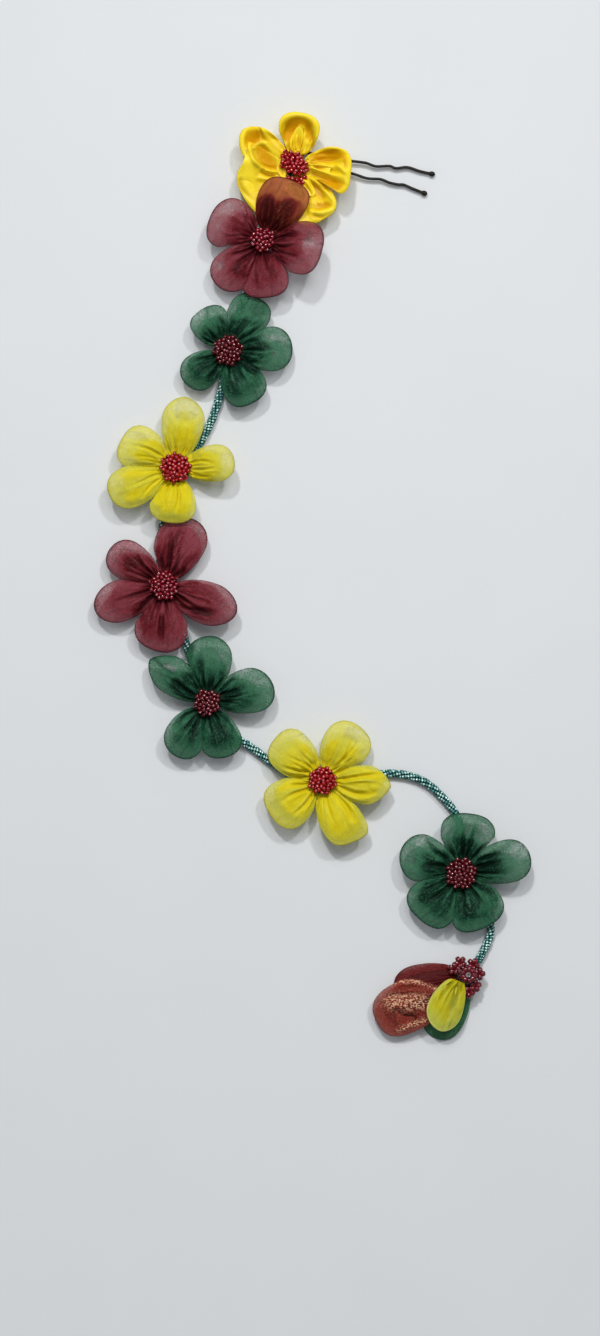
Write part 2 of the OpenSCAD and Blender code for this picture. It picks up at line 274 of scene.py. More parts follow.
def glass_beads(name, colour, deep, glint, lit_share, spot_at, roughness):
    """Small glass beads, each a little different in shade, with a painted highlight: a bright glint spot
    painted near the top of each bead.
    """
    nodes = Nodes(name)
    shade, facing = nodes.attributes("shade", "facing")
    # A painted highlight: a bright spot on the side of each bead that faces its glint direction, near the
    # top.
    spot = nodes.times(nodes.ramp(facing, spot_at, spot_at + 0.1),
                       nodes.ramp(shade, 1 - lit_share, 1.3 - lit_share, 0.15, 0.9))
    body = nodes.layers(deep, (nodes.ramp(nodes.noise(0.8, 1), 0.3, 0.7, 0.2, 0.9), colour), (spot, glint))
    nodes.set(Base_Color=body, Roughness=roughness, IOR=1.5, Coat_Weight=0.2, Coat_Roughness=0.06)
    nodes.bump(nodes.noise(0.5, 1), 0.05, 0.4)
    return nodes.material


def thread_core(name, colour):
    """The dark thread and backing that shows between the beads."""
    nodes = Nodes(name)
    strands = nodes.noise(0.3, stretch=(1, 3, 1))
    nodes.set(Base_Color=nodes.mix(nodes.ramp(strands, 0, 1, 0.4, 1), (0, 0, 0), colour), Roughness=0.8,
              Specular_IOR_Level=0.1)
    nodes.bump(strands, 0.1)
    return nodes.material


def lacquered_wire(name):
    """Black lacquered steel with a brown cast and slightly worn high spots."""
    nodes = Nodes(name)
    wear = nodes.noise(1.6, 3)
    nodes.set(Base_Color=nodes.mix(nodes.ramp(wear, 0.5, 0.8), (12, 11, 10), (62, 46, 30)),
              Roughness=nodes.ramp(wear, 0.3, 0.8, 0.42, 0.6), Specular_IOR_Level=0.25,
              Coat_Weight=0.06, Coat_Roughness=0.2)
    nodes.bump(wear, 0.05, 0.6)
    return nodes.material


def pale_floor(name):
    nodes = Nodes(name)
    nodes.set(Base_Color=nodes.mix(nodes.noise(60), (222, 226, 231), (226, 230, 235)), Roughness=0.9,
              Specular_IOR_Level=0.1)
    nodes.bump(nodes.noise(1.2), 0.05, 0.4)
    return nodes.material


# The columns are the colours of thin cloth, thick cloth, its folds and its hem, the alpha of thin and of
# thick cloth, how grainy it is, which also sets its painted sparkle of sheen, and how streaked it is. The
# fold colour is also the painted shade in the creases.
ORGANZAS = {
    "maroon_organza": ((152, 68, 80), (100, 23, 31), (42, 3, 8), (60, 22, 30), 0.54, 0.92, 0.34, 0.45),
    "green_organza": ((60, 121, 89), (14, 51, 37), (2, 22, 15), (14, 44, 36), 0.56, 0.93, 0.5, 0.45),
    "yellow_organza": (
        (230, 226, 72), (217, 201, 25), (206, 188, 14), (194, 188, 80), 0.52, 0.94, 0.12, 0.45),
    # The satin under this cloth shines through and warms it.
    "warm_maroon_organza": ((186, 108, 62), (110, 30, 28), (56, 8, 12), (78, 28, 16), 0.8, 0.94, 0.06, 0.16),
    "bud_maroon_organza": ((124, 44, 46), (98, 20, 22), (40, 4, 6), (52, 16, 18), 0.7, 0.94, 0.5, 0.45),
    "bud_green_organza": ((84, 140, 104), (52, 104, 72), (14, 44, 30), (40, 82, 60), 0.7, 0.94, 0.5, 0.45),
    "bud_yellow_organza": (
        (216, 222, 96), (200, 190, 20), (108, 100, 4), (226, 232, 130), 0.7, 0.94, 0.12, 0.45),
}
CLOTHS = {name: organza(name, *row) for name, row in ORGANZAS.items()}
CLOTHS["yellow_satin"] = satin("yellow_satin")
CLOTHS["gold_organza"] = shot_organza("gold_organza")
CLOTHS["maroon_a_petal_1"] = CLOTHS["warm_maroon_organza"]
# The columns are the colours of the glass, of its depth and of its painted glint highlight, the share of
# beads with a bright painted glint, where the glint begins, and the roughness.
BEADS = {
    "wine_beads": ((146, 2, 30), (58, 0, 10), (248, 190, 206), 0.6, 0.86, 0.16),
    # These two are the wine glass again, with painted bounce light and painted shade.
    "bounce_lit_wine_beads": ((188, 10, 22), (92, 2, 8), (248, 186, 190), 0.6, 0.86, 0.16),
    "dim_wine_beads": ((108, 0, 18), (36, 0, 6), (246, 186, 202), 0.45, 0.86, 0.16),
    "loop_wine_beads": ((124, 0, 26), (48, 0, 8), (236, 150, 174), 0.3, 0.89, 0.16),
    "teal_beads": ((24, 130, 128), (4, 58, 60), (212, 252, 248), 0.7, 0.62, 0.16),
    "grey_bead": ((122, 112, 114), (84, 74, 78), (170, 162, 164), 0.9, 0.8, 0.3),
}
LOOKS = {name: glass_beads(name, *row) for name, row in BEADS.items()}
# The beads get painted light from the cloth round them: a lighter copy of the wine glass on yellow cloth,
# which bounces light onto them, and a darker, shaded copy on green cloth.
BEADS_ON = {"yellow_satin": "bounce_lit_wine_beads", "maroon_organza": "wine_beads",
            "green_organza": "dim_wine_beads", "yellow_organza": "bounce_lit_wine_beads"}
WINE_CORE = thread_core("wine_core", (56, 2, 12))
TEAL_CORE = thread_core("teal_core", (4, 40, 40))


# Meshes

# How many sine waves make up one pattern of ripples
WAVES = 7


def mesh_piece(name, points, faces, materials, attributes=None, uv=None, material_of=None):
    """A smooth mesh object from points in millimetres, riding on the root body."""
    mesh = bpy.data.meshes.new(name)
    mesh.from_pydata((points * MM).tolist(), [], faces)
    for material in materials:
        mesh.materials.append(material)
    mesh.polygons.foreach_set("use_smooth", np.ones(len(mesh.polygons), bool))
    if material_of is not None:
        mesh.polygons.foreach_set("material_index", np.asarray(material_of, np.int32))
    for key, values in (attributes or {}).items():
        layer = mesh.attributes.new(key, "FLOAT", "POINT")
        layer.data.foreach_set("value", np.asarray(values, np.float32))
    if uv is not None:
        corners = np.zeros(len(mesh.loops), np.int32)
        mesh.loops.foreach_get("vertex_index", corners)
        mesh.uv_layers.new(name="cloth").data.foreach_set("uv", np.asarray(uv, np.float32)[corners].ravel())
    mesh.update()
    piece = add_object(name, mesh)
    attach(piece, "root")
    return piece


def cos_sin(degrees):
    return math.cos(math.radians(degrees)), math.sin(math.radians(degrees))


def circle(count):
    """Evenly spaced angles, once round."""
    return np.linspace(0, 2 * math.pi, count, endpoint=False)


def unit(vectors):
    return vectors / np.linalg.norm(vectors, axis=1)[:, None]


def smoothstep(low, high, x):
    t = np.clip((x - low) / (high - low), 0, 1)
    return t * t * (3 - 2 * t)


def ripples(x, y, rng, size):
    """Smooth random waves about size long, from -1 to 1 at most."""
    total = np.zeros_like(x)
    for _ in range(WAVES):
        way = rng.uniform(0, 2 * math.pi)
        length = size * rng.uniform(0.7, 1.5)
        total += np.sin(2 * math.pi * (x * math.cos(way) + y * math.sin(way)) / length + rng.uniform(0, 6.3))
    return total / math.sqrt(WAVES) * 0.7


def grid_faces(index):
    """Quads between the rows and columns of a table of vertex numbers, without the empty ones."""
    a, b, c, d = index[:-1, :-1], index[1:, :-1], index[1:, 1:], index[:-1, 1:]
    quads = np.stack([a, b, c, d], axis=-1).reshape(-1, 4)
    return [tuple(dict.fromkeys(q)) for q in quads.tolist() if len(set(q)) > 2]


def smooth_path(points, steps):
    """Points on a curve through the given points, with steps between each two."""
    p = np.array(points, float)
    p = np.vstack([p[:1], p, p[-1:]])
    t = np.linspace(0, 1, steps, endpoint=False)[:, None]
    out = []
    for a, b, c, d in zip(p[:-3], p[1:-2], p[2:-1], p[3:]):
        out.append((2 * b + (c - a) * t + (2 * a - 5 * b + 4 * c - d) * t * t
                    + (3 * b - a - 3 * c + d) * t ** 3) / 2)
    return np.vstack([*out, p[-1:]])


def even(path, count, trim=0):
    """Evenly spaced points on the same curve, without this much of each end, and its whole length."""
    run = np.concatenate([[0], np.cumsum(np.linalg.norm(np.diff(path, axis=0), axis=1))])
    at = np.linspace(trim, run[-1] - trim, count)
    return np.stack([np.interp(at, run, column) for column in path.T], 1), run[-1]


# Petals

# Radius, thickness and half width of a petal's root, and the height of its underside
ROOT_R = 4.2
ROOT_H = 2.6
ROOT_HALF = 2.9
SOLE_Z = 3.7
SEAM = -0.3
# Where along its length a petal is widest, and how fast it gets there
BELLY = 0.62
FULLNESS = 0.62
# How high on a pouch its rim is, as a share of the thickness
RIM = 0.42
SATIN = 1.6
COLUMNS = 96
ROWS = 24
UNDER_ROWS = 12
INNER_ROWS = 10
RIM_STEPS = 160
RIM_SMOOTHINGS = 12
# How much of each end of the rim is left out at the root
RIM_TRIM = 0.8
# A petal whose neighbour is turned away by more degrees than this has free room on that side.
FREE_TURN = 150
# Heights of a pouch's waves along its rim, of its wrinkles and of its lit ridges
RIM_WAVE = 0.5
WRINKLE = 0.16
LIT_RIDGE_HEIGHT = 0.25
LIT_RIDGE_COUNT = 9
# How much painted highlight the lit ridges add, and the rolled upper edge of a satin petal
RIDGE_HIGHLIGHT = 0.7
SATIN_RIM_LIGHT = 0.8
FOLD_STEPS = 12
# The highest point of a satin petal's wall above its rim
ROLL = 0.8
# How wide the lip inside a satin petal is, as a share of the petal's width
LIP_SHARE = 0.24

# Each petal's row is angle, reach from the flower's middle, width, lift of the outer part, puff or cup,
# tip, sideways bend, and how far out its doubled cloth goes, as a share of its length. A tip below 2 is
# pointed, and above 2 it is blunt.
SATIN_PETALS = (
    (81, 21.3, 17.2, 3.5, 2.2, 2.2, 0, 0.66), (148, 25.4, 18, 2, 1.8, 1.8, 0, 0.5),
    (206, 24.8, 20, 0.8, 1.2, 2.4, 1, 0.16), (302, 27, 14, 1.5, 1.5, 2.2, 1, 0.5),
    (350, 24.7, 19.7, 3.5, 2.2, 2.6, -1, 0.55),
)
MAROON_A_PETALS = (
    (64, 27.4, 21, 6.8, 2.2, 2.6, -1, 0.62), (153, 24, 22, 3.5, 2.6, 2.2, 1, 0.62),
    (226, 27, 18, 1.5, 2.4, 2.2, -1, 0.66), (272, 24.8, 20, 4, 2.4, 2.4, 0, 0.74),
    (347, 25.5, 22.5, 9, 2.6, 2.6, 0, 0.6),
)
GREEN_A_PETALS = (
    (60, 25.8, 18, 0.8, 1.4, 2.4, 0, 0.6), (122, 20.6, 16.8, 1, 2.6, 2.6, 0, 0.62),
    (216, 22.3, 16, 1, 2.6, 2.2, 0, 0.78), (295, 24.2, 18.4, 2.5, 2.6, 2.4, 0, 0.8),
    (2, 27.3, 18.5, 1.5, 3, 2, 0, 0.55),
)
YELLOW_A_PETALS = (
    (81, 30.7, 17.6, 2, 2.4, 1.8, 0, 0.6), (152, 26, 19, 2.5, 2.6, 2.4, 0, 0.6),
    (203, 30, 17.6, 4, 2.6, 2.2, 0, 0.72), (266, 23.6, 19.3, 4.4, 2.4, 2.2, 0, 0.8),
    (7, 25, 15.5, 5, 2.4, 2.2, 0, 0.7),
)
MAROON_B_PETALS = (
    (67, 30.3, 19, 0.5, 2.2, 2, -1, 0.84), (145, 27.6, 16.4, 1.5, 2.6, 2.2, 0, 0.72),
    (199, 30.5, 17.6, 1.5, 2.6, 2, 0, 0.72), (266, 27.8, 22, 2.5, 2.6, 2.2, 0, 0.8),
    (337, 32, 18.4, 4.5, 2.6, 1.8, 1, 0.8),
)
GREEN_B_PETALS = (
    (88, 27.8, 19.4, 1.5, 2.8, 2.2, 0, 0.66), (141, 29.9, 16, 2, 2.4, 1.5, 1, 0.6),
    (236, 26.2, 17.6, 2.5, 2.6, 2, 1, 0.78), (290, 24.6, 17.4, 2.5, 2.6, 2, 0, 0.8),
    (17, 28.8, 19, 3, 2.6, 2, -1, 0.68),
)
YELLOW_B_PETALS = (
    (56, 27.4, 20, 2, 2.6, 2.4, 0, 0.64), (138, 26.6, 19, 1.5, 2.6, 2.4, 0, 0.7),
    (214, 26.6, 21, 3, 2.6, 2.2, 0, 0.72), (293, 28.8, 18, 4, 2.4, 3.2, 2.2, 0.85),
    (354, 29.3, 16.4, 4, 2.4, 1.4, 0.5, 0.85),
)
GREEN_C_PETALS = (
    (81, 25.7, 22.7, 1.5, 2.8, 2.2, 0, 0.52), (159, 27.4, 20, 2, 2.6, 1.8, 0, 0.6),
    (221, 26, 18.8, 2, 2.6, 2.4, 0, 0.74), (299, 24.8, 20, 2.5, 2.6, 2.4, 0, 0.8),
    (15, 29.7, 18.2, 3.5, 2.6, 2.2, 0, 0.58),
)
# How many times as wide the right and left sides of these petals are
WIDER_SIDES = {
    "satin_petal_2": (0.68, 1), "satin_petal_3": (1, 1.5), "satin_petal_4": (1.8, 1),
    "maroon_b_petal_1": (1, 1.25), "green_c_petal_3": (1, 1.35), "green_c_petal_4": (1.35, 1),
    "bud_petal_yellow": (1.06, 0.8), "bud_petal_green": (1.2, 1),
}
# This petal's second fold lies across its left neighbour. The columns are x, y and height, along its edge
# from the beads round its point and back to the beads.
OVERLAPPING = "satin_petal_2"
OVERLAP_EDGE = (
    (-5.4, 4.6, 8), (-8.6, 7.6, 8.8), (-12.4, 9.2, 9.6), (-15.4, 8, 9.2), (-18.6, 8.6, 10.2),
    (-19.6, 4.4, 10), (-21.2, 0.2, 9.8), (-22.4, -4.6, 8.4), (-20.8, -9.4, 6.9), (-15, -11, 6.3),
    (-9, -9.4, 7.2), (-5, -7, 7.4),
)
OVERLAP_ROOT = ((-4, 2, 6.3), (-3, -4.4, 6.8))
SATIN_SPREAD = 2.2
SATIN_SLANT = -35


# Folds pinched into the flowers, in millimetres from each flower's middle. The columns are the x and y of
# the fold's start, middle and end, its half width, and its height: below 0 it is a valley darkened with
# painted shade, and above 0 a ridge with a painted highlight.
SATIN_FOLDS = (
    (-4, 5, -3.5, 7.2, -2.8, 9.5, 0.8, 1), (-1.6, 6, -1.4, 8.5, -1, 11, 0.7, 1.1),
    (0.8, 6.5, 1, 10.5, 2.2, 15.2, 0.7, 1.3), (2.2, 15.2, 4.4, 14.2, 4.3, 9.5, 0.6, 1),
    (4, 4.5, 5.2, 8, 6.6, 11, 0.8, 1.1), (2.6, 7, 2.6, 10, 2.8, 13, 0.6, -1),
    (-2.6, 6, -2.3, 8, -1.9, 10, 0.5, -0.8), (7.2, 3, 8, 9, 7.2, 15.5, 0.6, -1.2),
    (-18.6, 7.4, -16.6, 0.8, -10.8, -2.9, 0.8, 1.5), (-10.8, -2.9, -8.4, -3.4, -5.8, -3.2, 0.7, 1),
    (-16.8, 5.4, -14.4, 0.4, -9.4, -1.7, 0.5, -0.8), (-13.2, -3.6, -10.2, -4.9, -6.4, -4.7, 0.7, -1.2),
    (-12, 8, -9.6, 4.4, -7.4, 0, 0.9, 0.8), (-14.6, 15.4, -13.4, 12, -12.4, 9, 0.5, -1),
    (-13.4, 14, -11.4, 11.4, -8.6, 9.4, 1, 0.9), (-18.6, 8.4, -15.6, 7.8, -12.6, 9, 0.5, 0.6),
    (-20.5, 0, -19.5, -5, -17.5, -11, 2.4, 1), (-14.5, -6, -10, -6.6, -4.8, -5.6, 0.9, 1),
    (-22.8, -7, -21.5, -11, -17, -15.5, 0.7, -0.9), (6.5, -0.4, 12, -1, 18.5, -1.6, 0.8, 1.4),
    (7.5, -1.8, 14, -4.2, 21, -6.4, 0.9, 1.5), (18.5, -1.4, 20.6, -3.4, 22.6, -5.6, 0.8, 1.3),
    (8.5, -1.3, 13, -2.4, 18, -3.8, 0.6, -1.2), (7.5, 0.8, 13, 1.4, 19.5, 0.6, 0.9, -1.2),
    (8, -4.2, 14, -7, 20, -8.8, 1, -1.2), (3.6, -6.6, 7, -10.5, 7.6, -18, 0.8, 1.4),
    (7.4, -6.6, 12.6, -11, 17.6, -17.6, 0.9, 1.5), (6.4, -19.6, 11, -20.8, 17.2, -18.8, 0.8, 1.3),
    (8, -8.5, 10.4, -11.8, 12.6, -16.4, 1, -1.4), (8, -18, 12, -18.4, 15.6, -16.4, 0.8, -1.1),
    (8.5, -21.8, 11.5, -22.6, 15, -21.6, 0.7, -0.8),
)
MAROON_A_FOLDS = (
    (0.4, 5, 1.4, 11, 1.4, 17, 0.6, -0.9), (2, 4.6, 3.4, 10, 4, 16.4, 0.6, -0.9),
    (3.6, 4.4, 5.6, 10, 6.2, 15.6, 0.5, -0.8), (5, 4.2, 7.4, 9, 9.2, 14.4, 0.6, -0.9),
    (9.8, 20, 13.6, 18.4, 17, 15.8, 0.7, 0.9), (12.6, 22.6, 15.2, 20.6, 17, 17.2, 0.6, 0.8),
    (12.4, 20.6, 14.2, 19.6, 15.6, 18.4, 0.5, -0.5), (-7, 13.4, -6.4, 10, -7.4, 6, 0.4, -0.6),
    (-9, 12.4, -8.6, 9.4, -7.6, 6.2, 0.5, 0.5), (-4, -1, -9, -3.4, -16, -4.2, 0.6, -0.9),
    (-5, 1.6, -10, 1.6, -16, 0.6, 0.5, -0.5), (-20, 9, -15, 10.8, -8, 7, 0.6, 0.4),
    (-4, -3, -9, -5.2, -15, -6.2, 0.6, -0.9), (-4, -5, -8, -8, -11.6, -10.6, 0.8, -1.1),
    (-2.8, -5.6, -5, -8.6, -7.6, -12.6, 0.5, -0.7), (-18, -17.2, -15, -16, -12, -14.4, 0.5, 0.5),
    (-9, -13.4, -6.2, -9.4, -1.4, -8, 0.6, 0.6), (2.4, -4.4, 3.2, -6.4, 4.4, -8, 1, -1.1),
    (-2.6, -7, -3.2, -14, -2.4, -21, 0.6, -0.8), (0.6, -6, 1.4, -11, 3.4, -15, 0.5, -0.6),
    (5, -1.4, 10, -1.8, 15.6, -0.2, 0.6, 0.6), (5, -2.8, 10, -3, 14, -2.6, 0.5, -0.9),
    (5.2, 0.6, 10, 1.4, 15, 2.6, 0.8, -1), (4.6, -4.4, 9.6, -6.2, 14.4, -8.4, 0.7, -1),
    (4, -5.6, 7, -8.6, 10.6, -11, 0.5, -0.7),
)
GREEN_A_FOLDS = (
    (-9, 17.8, -8.4, 14.6, -9.6, 11.6, 0.5, -0.5), (-5, 4.4, -7, 7, -9.2, 9.4, 0.6, -0.9),
    (-6, 3.4, -9, 4.6, -12, 7, 0.5, -0.7), (-3, 6.4, -3.6, 9, -4.4, 12, 0.5, -0.8),
    (0.4, 6.8, 1.2, 10, 2.4, 13.4, 0.6, -0.9), (2.8, 6.2, 4, 8.4, 5.6, 11, 0.5, -0.7),
    (4.4, 5.4, 8, 8.4, 12.6, 10.4, 0.5, 0.5), (6, 5, 10, 7.4, 15.4, 11.4, 0.6, -0.9),
    (6.6, 2.4, 10, 4, 14.4, 5.4, 0.8, -1.1), (7, 0.2, 11, 0.2, 15.4, -0.8, 0.6, -1),
    (8.6, -1.6, 12, -2.8, 15.4, -1.4, 0.5, 0.6), (6.8, -2.6, 10.4, -5, 16.4, -5.4, 0.7, -1),
    (6.2, -4.4, 10.6, -7.8, 16, -9.6, 0.9, -1.3), (4, -6, 5.2, -9.4, 7.6, -13.6, 0.8, -1.1),
    (6, -5.6, 9.6, -9, 14.6, -11.4, 0.6, -0.9), (5.6, -8.6, 8.4, -12.6, 9.6, -17.4, 0.5, 0.6),
    (0.6, -7, 0.4, -10, 1.4, -14, 0.5, -0.7), (-6, -2.4, -10, -3.2, -14.6, -4.4, 0.7, -1),
    (-5, -4.6, -8, -7, -11, -8.4, 0.6, -0.8), (-4, -5.6, -5.6, -9, -7.4, -12, 0.9, -1),
)
YELLOW_A_FOLDS = (
    (0.2, 7, 1.2, 12, 1.6, 17.4, 0.5, -0.6), (-2.4, 6.8, -3.2, 9.6, -3, 12.4, 0.5, -0.5),
    (3.4, 6.6, 4.4, 11, 4.4, 15.6, 0.6, -0.6), (5, 5.6, 7.4, 9.4, 8.6, 14, 0.4, -0.4),
    (-7, 5.4, -12, 8, -18.6, 9.2, 0.6, -1), (-7.4, 3.4, -12, 4.6, -17, 4.6, 0.5, -0.5),
    (-8, 1.6, -13, 1.2, -17, 1.6, 0.4, -0.5), (-7.4, -2.4, -13, -5.4, -18, -8, 0.5, -0.6),
    (-6.4, -4.4, -10.6, -8, -14, -12.6, 0.5, -0.6), (-2.8, -7, -4.6, -11, -4.2, -16.4, 0.6, -1),
    (0.8, -7.4, 1.6, -12.4, 0.2, -18.2, 0.6, -1), (3.4, -6.4, 6, -10.4, 7, -15.4, 0.6, 0.5),
    (7.4, 2, 11.6, 2.8, 15.4, 1.4, 0.5, -0.8), (7.4, -0.6, 12.6, -0.8, 16.6, 0, 0.5, -0.8),
    (7, -2.6, 11, -3.6, 15, -3.8, 0.5, -0.6),
)
MAROON_B_FOLDS = (
    (1, 6.8, 2.4, 13, 2.8, 21.4, 0.8, -1.1), (-1, 6.6, -1.2, 11, 0.6, 17.4, 0.5, -0.7),
    (3.8, 6.2, 5.6, 10, 6.2, 16, 0.6, -0.9), (6.4, 3, 7.8, 7, 8.2, 12.6, 0.6, -0.8),
    (5.4, 4.6, 9, 7.4, 11.6, 12, 0.5, -0.6), (6, 0.8, 8.6, 2, 10.4, 4, 0.5, 0.6),
    (-19, 12.4, -16, 15.2, -11, 12.6, 0.5, -0.6), (-11, 12.6, -9.6, 9.6, -9.4, 6.4, 0.5, -0.6),
    (-6, 3, -11, 4.6, -16, 6.4, 0.6, -0.8), (-5, 5.2, -8, 7.4, -10.6, 10.4, 0.5, -0.7),
    (-5.6, -1.8, -12, -4, -19, -6.4, 0.8, -1.1), (-5, -4.6, -9, -9, -12.4, -13.4, 0.8, -1.1),
    (-5, -6.2, -8.2, -10.4, -10.4, -12.6, 0.5, 0.6), (-5.6, -3.2, -10.6, -6.4, -15, -9.6, 0.5, 0.5),
    (-1, -13, -1.2, -18, -0.8, -24.4, 0.9, -1.3), (-2.6, -6.4, -4.6, -10.4, -6, -15, 0.5, -0.7),
    (2.4, -7.4, 4.8, -12.6, 6.2, -18, 0.5, 0.6), (0.4, -6.8, 1.6, -11, 2.6, -16, 0.5, -0.7),
    (5.6, -3, 12, -4, 20, -6, 0.9, 1), (6, -4, 9, -6.4, 12, -8, 0.6, -0.9),
    (4.6, -5.6, 9, -9.4, 14.4, -11.4, 0.9, -1.2), (12, -9.6, 16, -10.8, 21, -11.4, 1.2, -1.1),
)
GREEN_B_FOLDS = (
    (-3.6, 5.4, -6, 10.6, -9, 16.4, 0.5, -0.9), (-2.6, 6, -4.6, 10, -6, 14.4, 0.4, -0.8),
    (-0.8, 6.4, -1.6, 9.6, -2.2, 13, 0.4, -0.8), (0.8, 6.4, 1, 9, 1.2, 11.6, 0.4, -0.7),
    (2, 6, 2.6, 8.6, 3, 11.4, 0.4, -0.8), (3, 5.6, 5.6, 8.8, 9, 13, 0.5, -0.9),
    (-3, 6.6, -5.4, 11, -7.6, 15.6, 0.35, 0.5), (-22.6, 18.6, -17, 13.6, -12, 10.4, 0.7, -0.8),
    (-18.6, 16.6, -14.4, 14.2, -11.6, 12.4, 0.6, 0.6), (-5.6, 2.6, -11, 7, -16.6, 11, 0.8, -1),
    (-6, 1, -10.6, 2.8, -15, 4, 0.8, -0.9), (6, 3.8, 10, 4.4, 15.6, 6, 0.8, -1.1),
    (6, 2, 10.4, 2.4, 15.4, 3.2, 0.5, -0.8), (6, 0.4, 10, 0, 14.4, -1.2, 0.5, -0.8),
    (5.4, 5, 8.4, 7.6, 10.4, 12, 0.5, -0.8), (-4, -4.4, -7, -8.4, -10, -12.6, 0.6, -0.9),
    (-5.4, -3, -9.6, -5.8, -13.4, -9.4, 0.6, -0.8), (-2.6, -5.4, -4.6, -9.4, -5.4, -14, 0.9, -1),
    (-16.4, -9.6, -14, -12, -11.4, -14, 0.6, 0.5), (1, -6, 1, -9, 1.8, -12.4, 0.5, -0.8),
    (3, -5.4, 5.2, -9, 6, -13.6, 0.6, -0.9), (5, -4, 8, -6.6, 11, -10, 0.6, -0.9),
)
YELLOW_B_FOLDS = (
    (6.6, 6.4, 11, 12.4, 12, 19.4, 0.6, -1), (8.6, 7.6, 12.6, 13, 15.4, 16.4, 0.5, -0.8),
    (3, 7, 4.4, 10, 6, 14, 0.5, -0.5), (10, 10, 13.6, 15.4, 14.4, 20, 0.4, 0.4),
    (-3.6, 6.6, -6.6, 9, -9.4, 12.4, 0.5, -0.8), (-5, 5.6, -9.6, 8, -13.4, 9.4, 0.5, -0.6),
    (-5.6, 3.6, -12, 4.2, -17.4, 6, 0.6, -1), (-6, 1.6, -13, 1.8, -18.6, 4.4, 0.7, -1.2),
    (-6, -1.6, -10, -2, -14.4, -1.8, 0.8, -1.2), (-6, -3.6, -11, -5.2, -16.4, -8.4, 0.7, -1.1),
    (-4.4, -6.4, -8, -11, -12, -14.2, 0.6, -1), (-3.4, -6.6, -6, -11.6, -8.6, -14.8, 0.5, 0.6),
    (-1.4, -7, -2.4, -11, -3.4, -14.6, 0.5, -0.7), (6.4, -6.6, 10, -11, 12.6, -16.6, 0.9, -1.3),
    (8, -7, 14, -13, 17, -21, 0.7, 0.9), (1.6, -7.4, 3, -12.6, 5.6, -18.4, 0.5, -0.6),
    (9, 0.4, 17, 1.8, 25, 2.6, 0.8, -1.1), (11, -0.4, 18, 0, 25, -0.6, 0.6, 0.7),
    (8, -3, 15, -5.6, 22, -5, 0.9, -1.2), (8.6, -5.6, 14.6, -8.2, 20, -8.4, 0.6, 0.8),
)
GREEN_C_FOLDS = (
    (0.6, 7.6, 0.8, 15, 1.4, 22, 0.7, -1.1), (2, 7.6, 4.2, 15, 6.2, 21, 0.7, -1.1),
    (1.6, 13, 2.6, 17.4, 4, 21.6, 0.5, 0.7), (-3, 7, -5, 11, -6, 15, 0.7, -0.9),
    (5, 6.4, 8.4, 10.4, 11, 13, 0.7, -0.9), (7, 23, 11.4, 20, 13.2, 15.4, 0.4, -0.6),
    (-15.4, 15.4, -13, 12.2, -11, 10, 0.7, -0.9), (-6, 5.2, -10.4, 5.6, -15.4, 6.6, 0.4, 0.6),
    (-6.6, 3, -12, 3.4, -17, 3.2, 0.8, -1), (-5.6, 5.8, -9.4, 8.4, -13, 10.6, 0.8, -1),
    (-6.4, -3.2, -12, -5.8, -18, -7.6, 0.9, -1.1), (-6.6, -4.6, -11.6, -7.6, -17, -9.8, 0.5, 0.6),
    (-5.6, -5.6, -10, -9, -14.4, -11.4, 0.8, -1), (-3.6, -6.4, -6, -9.4, -8, -13.4, 0.4, 0.7),
    (-2.6, -7, -3.6, -11, -4.4, -15, 0.6, -0.9), (3.6, -6.6, 7, -9.4, 9, -14, 0.7, -1),
    (5.6, -6.6, 7.8, -10, 8.6, -14.4, 0.4, 0.7), (0.6, -7.4, 1, -11.6, 0.6, -16, 0.6, -0.9),
    (6, -4.6, 10, -6.6, 13, -10, 0.7, -0.9), (6.8, 2.6, 12, 4, 17.4, 6, 0.9, -1.2),
    (7, 5, 12, 7.4, 20, 8.2, 0.7, -1), (6.8, 4.4, 11, 5.4, 15, 5.6, 0.4, 0.6),
    (7, 0.4, 12, 0, 17, 0.4, 0.6, -0.8),
)
GOLD_FOLDS = (
    (-14.6, -4.6, -11, -7.2, -6, -6.2, 1.7, -1.6), (-14, -11, -9.4, -9.6, -5, -6.6, 0.9, 1),
    (-18, 5.6, -10, 8.4, -2, 6.6, 1, 0.9), (-22, 1, -17, -2.4, -10, -3.4, 0.7, -0.6),
    (-19, 3, -10, 4, -1, 3.4, 0.6, -0.6), (-20, -3.6, -16, -8, -11, -12, 0.8, -0.6),
)
BUD_YELLOW_FOLDS = (
    (10, 6.6, 9, 0.6, 6.6, -5.4, 1.1, -1.2), (7.4, 8.6, 4, 4, 1.4, -1.4, 0.5, -0.5),
    (9, 7, 6, 2, 4.4, -4, 0.4, -0.5),
)
# Patches that lighten or darken the cloth: in the organza partly thinner or denser cloth and partly painted
# light and painted shade, in the satin painted highlight and golden painted shade. The columns are the x and
# y of the patch's middle, its half length and half width, its turn, how deep it dips, and its shade: above 0
# it is lighter, and below 0 darker.
# Here patches below 0 are golden painted shade in the pockets, and patches above 0 painted highlight.
SATIN_PATCHES = (
    (1.8, 15.6, 5.4, 3.4, 0, 1.2, -1.1), (-2.6, 12.4, 3.4, 1.8, 75, 1, -1),
    (6.2, 12.4, 3.6, 1.4, 100, 0.8, -0.8), (9.4, 12, 6, 1.3, 95, 0, 0.8),
    (-17.2, 11.4, 5.4, 3, 66, 1.3, -1.2), (-11.4, 2.2, 6.4, 3.2, 128, 0.9, -0.95),
    (-19, -4, 8, 2.4, 98, 0, 0.8), (15.4, 3.4, 7.4, 2.2, 4, 1.1, -1.2), (22, 0.6, 3.6, 1.6, 100, 0.6, -0.9),
    (17, -9.8, 7.4, 2.8, 163, 0.6, -0.9), (10.2, -12, 4, 1.6, 125, 0.8, -0.3),
    (12.6, -17.4, 3.6, 1.2, 170, 0.8, -0.9), (12, -23, 4.4, 1.2, 175, 0, -0.7),
)
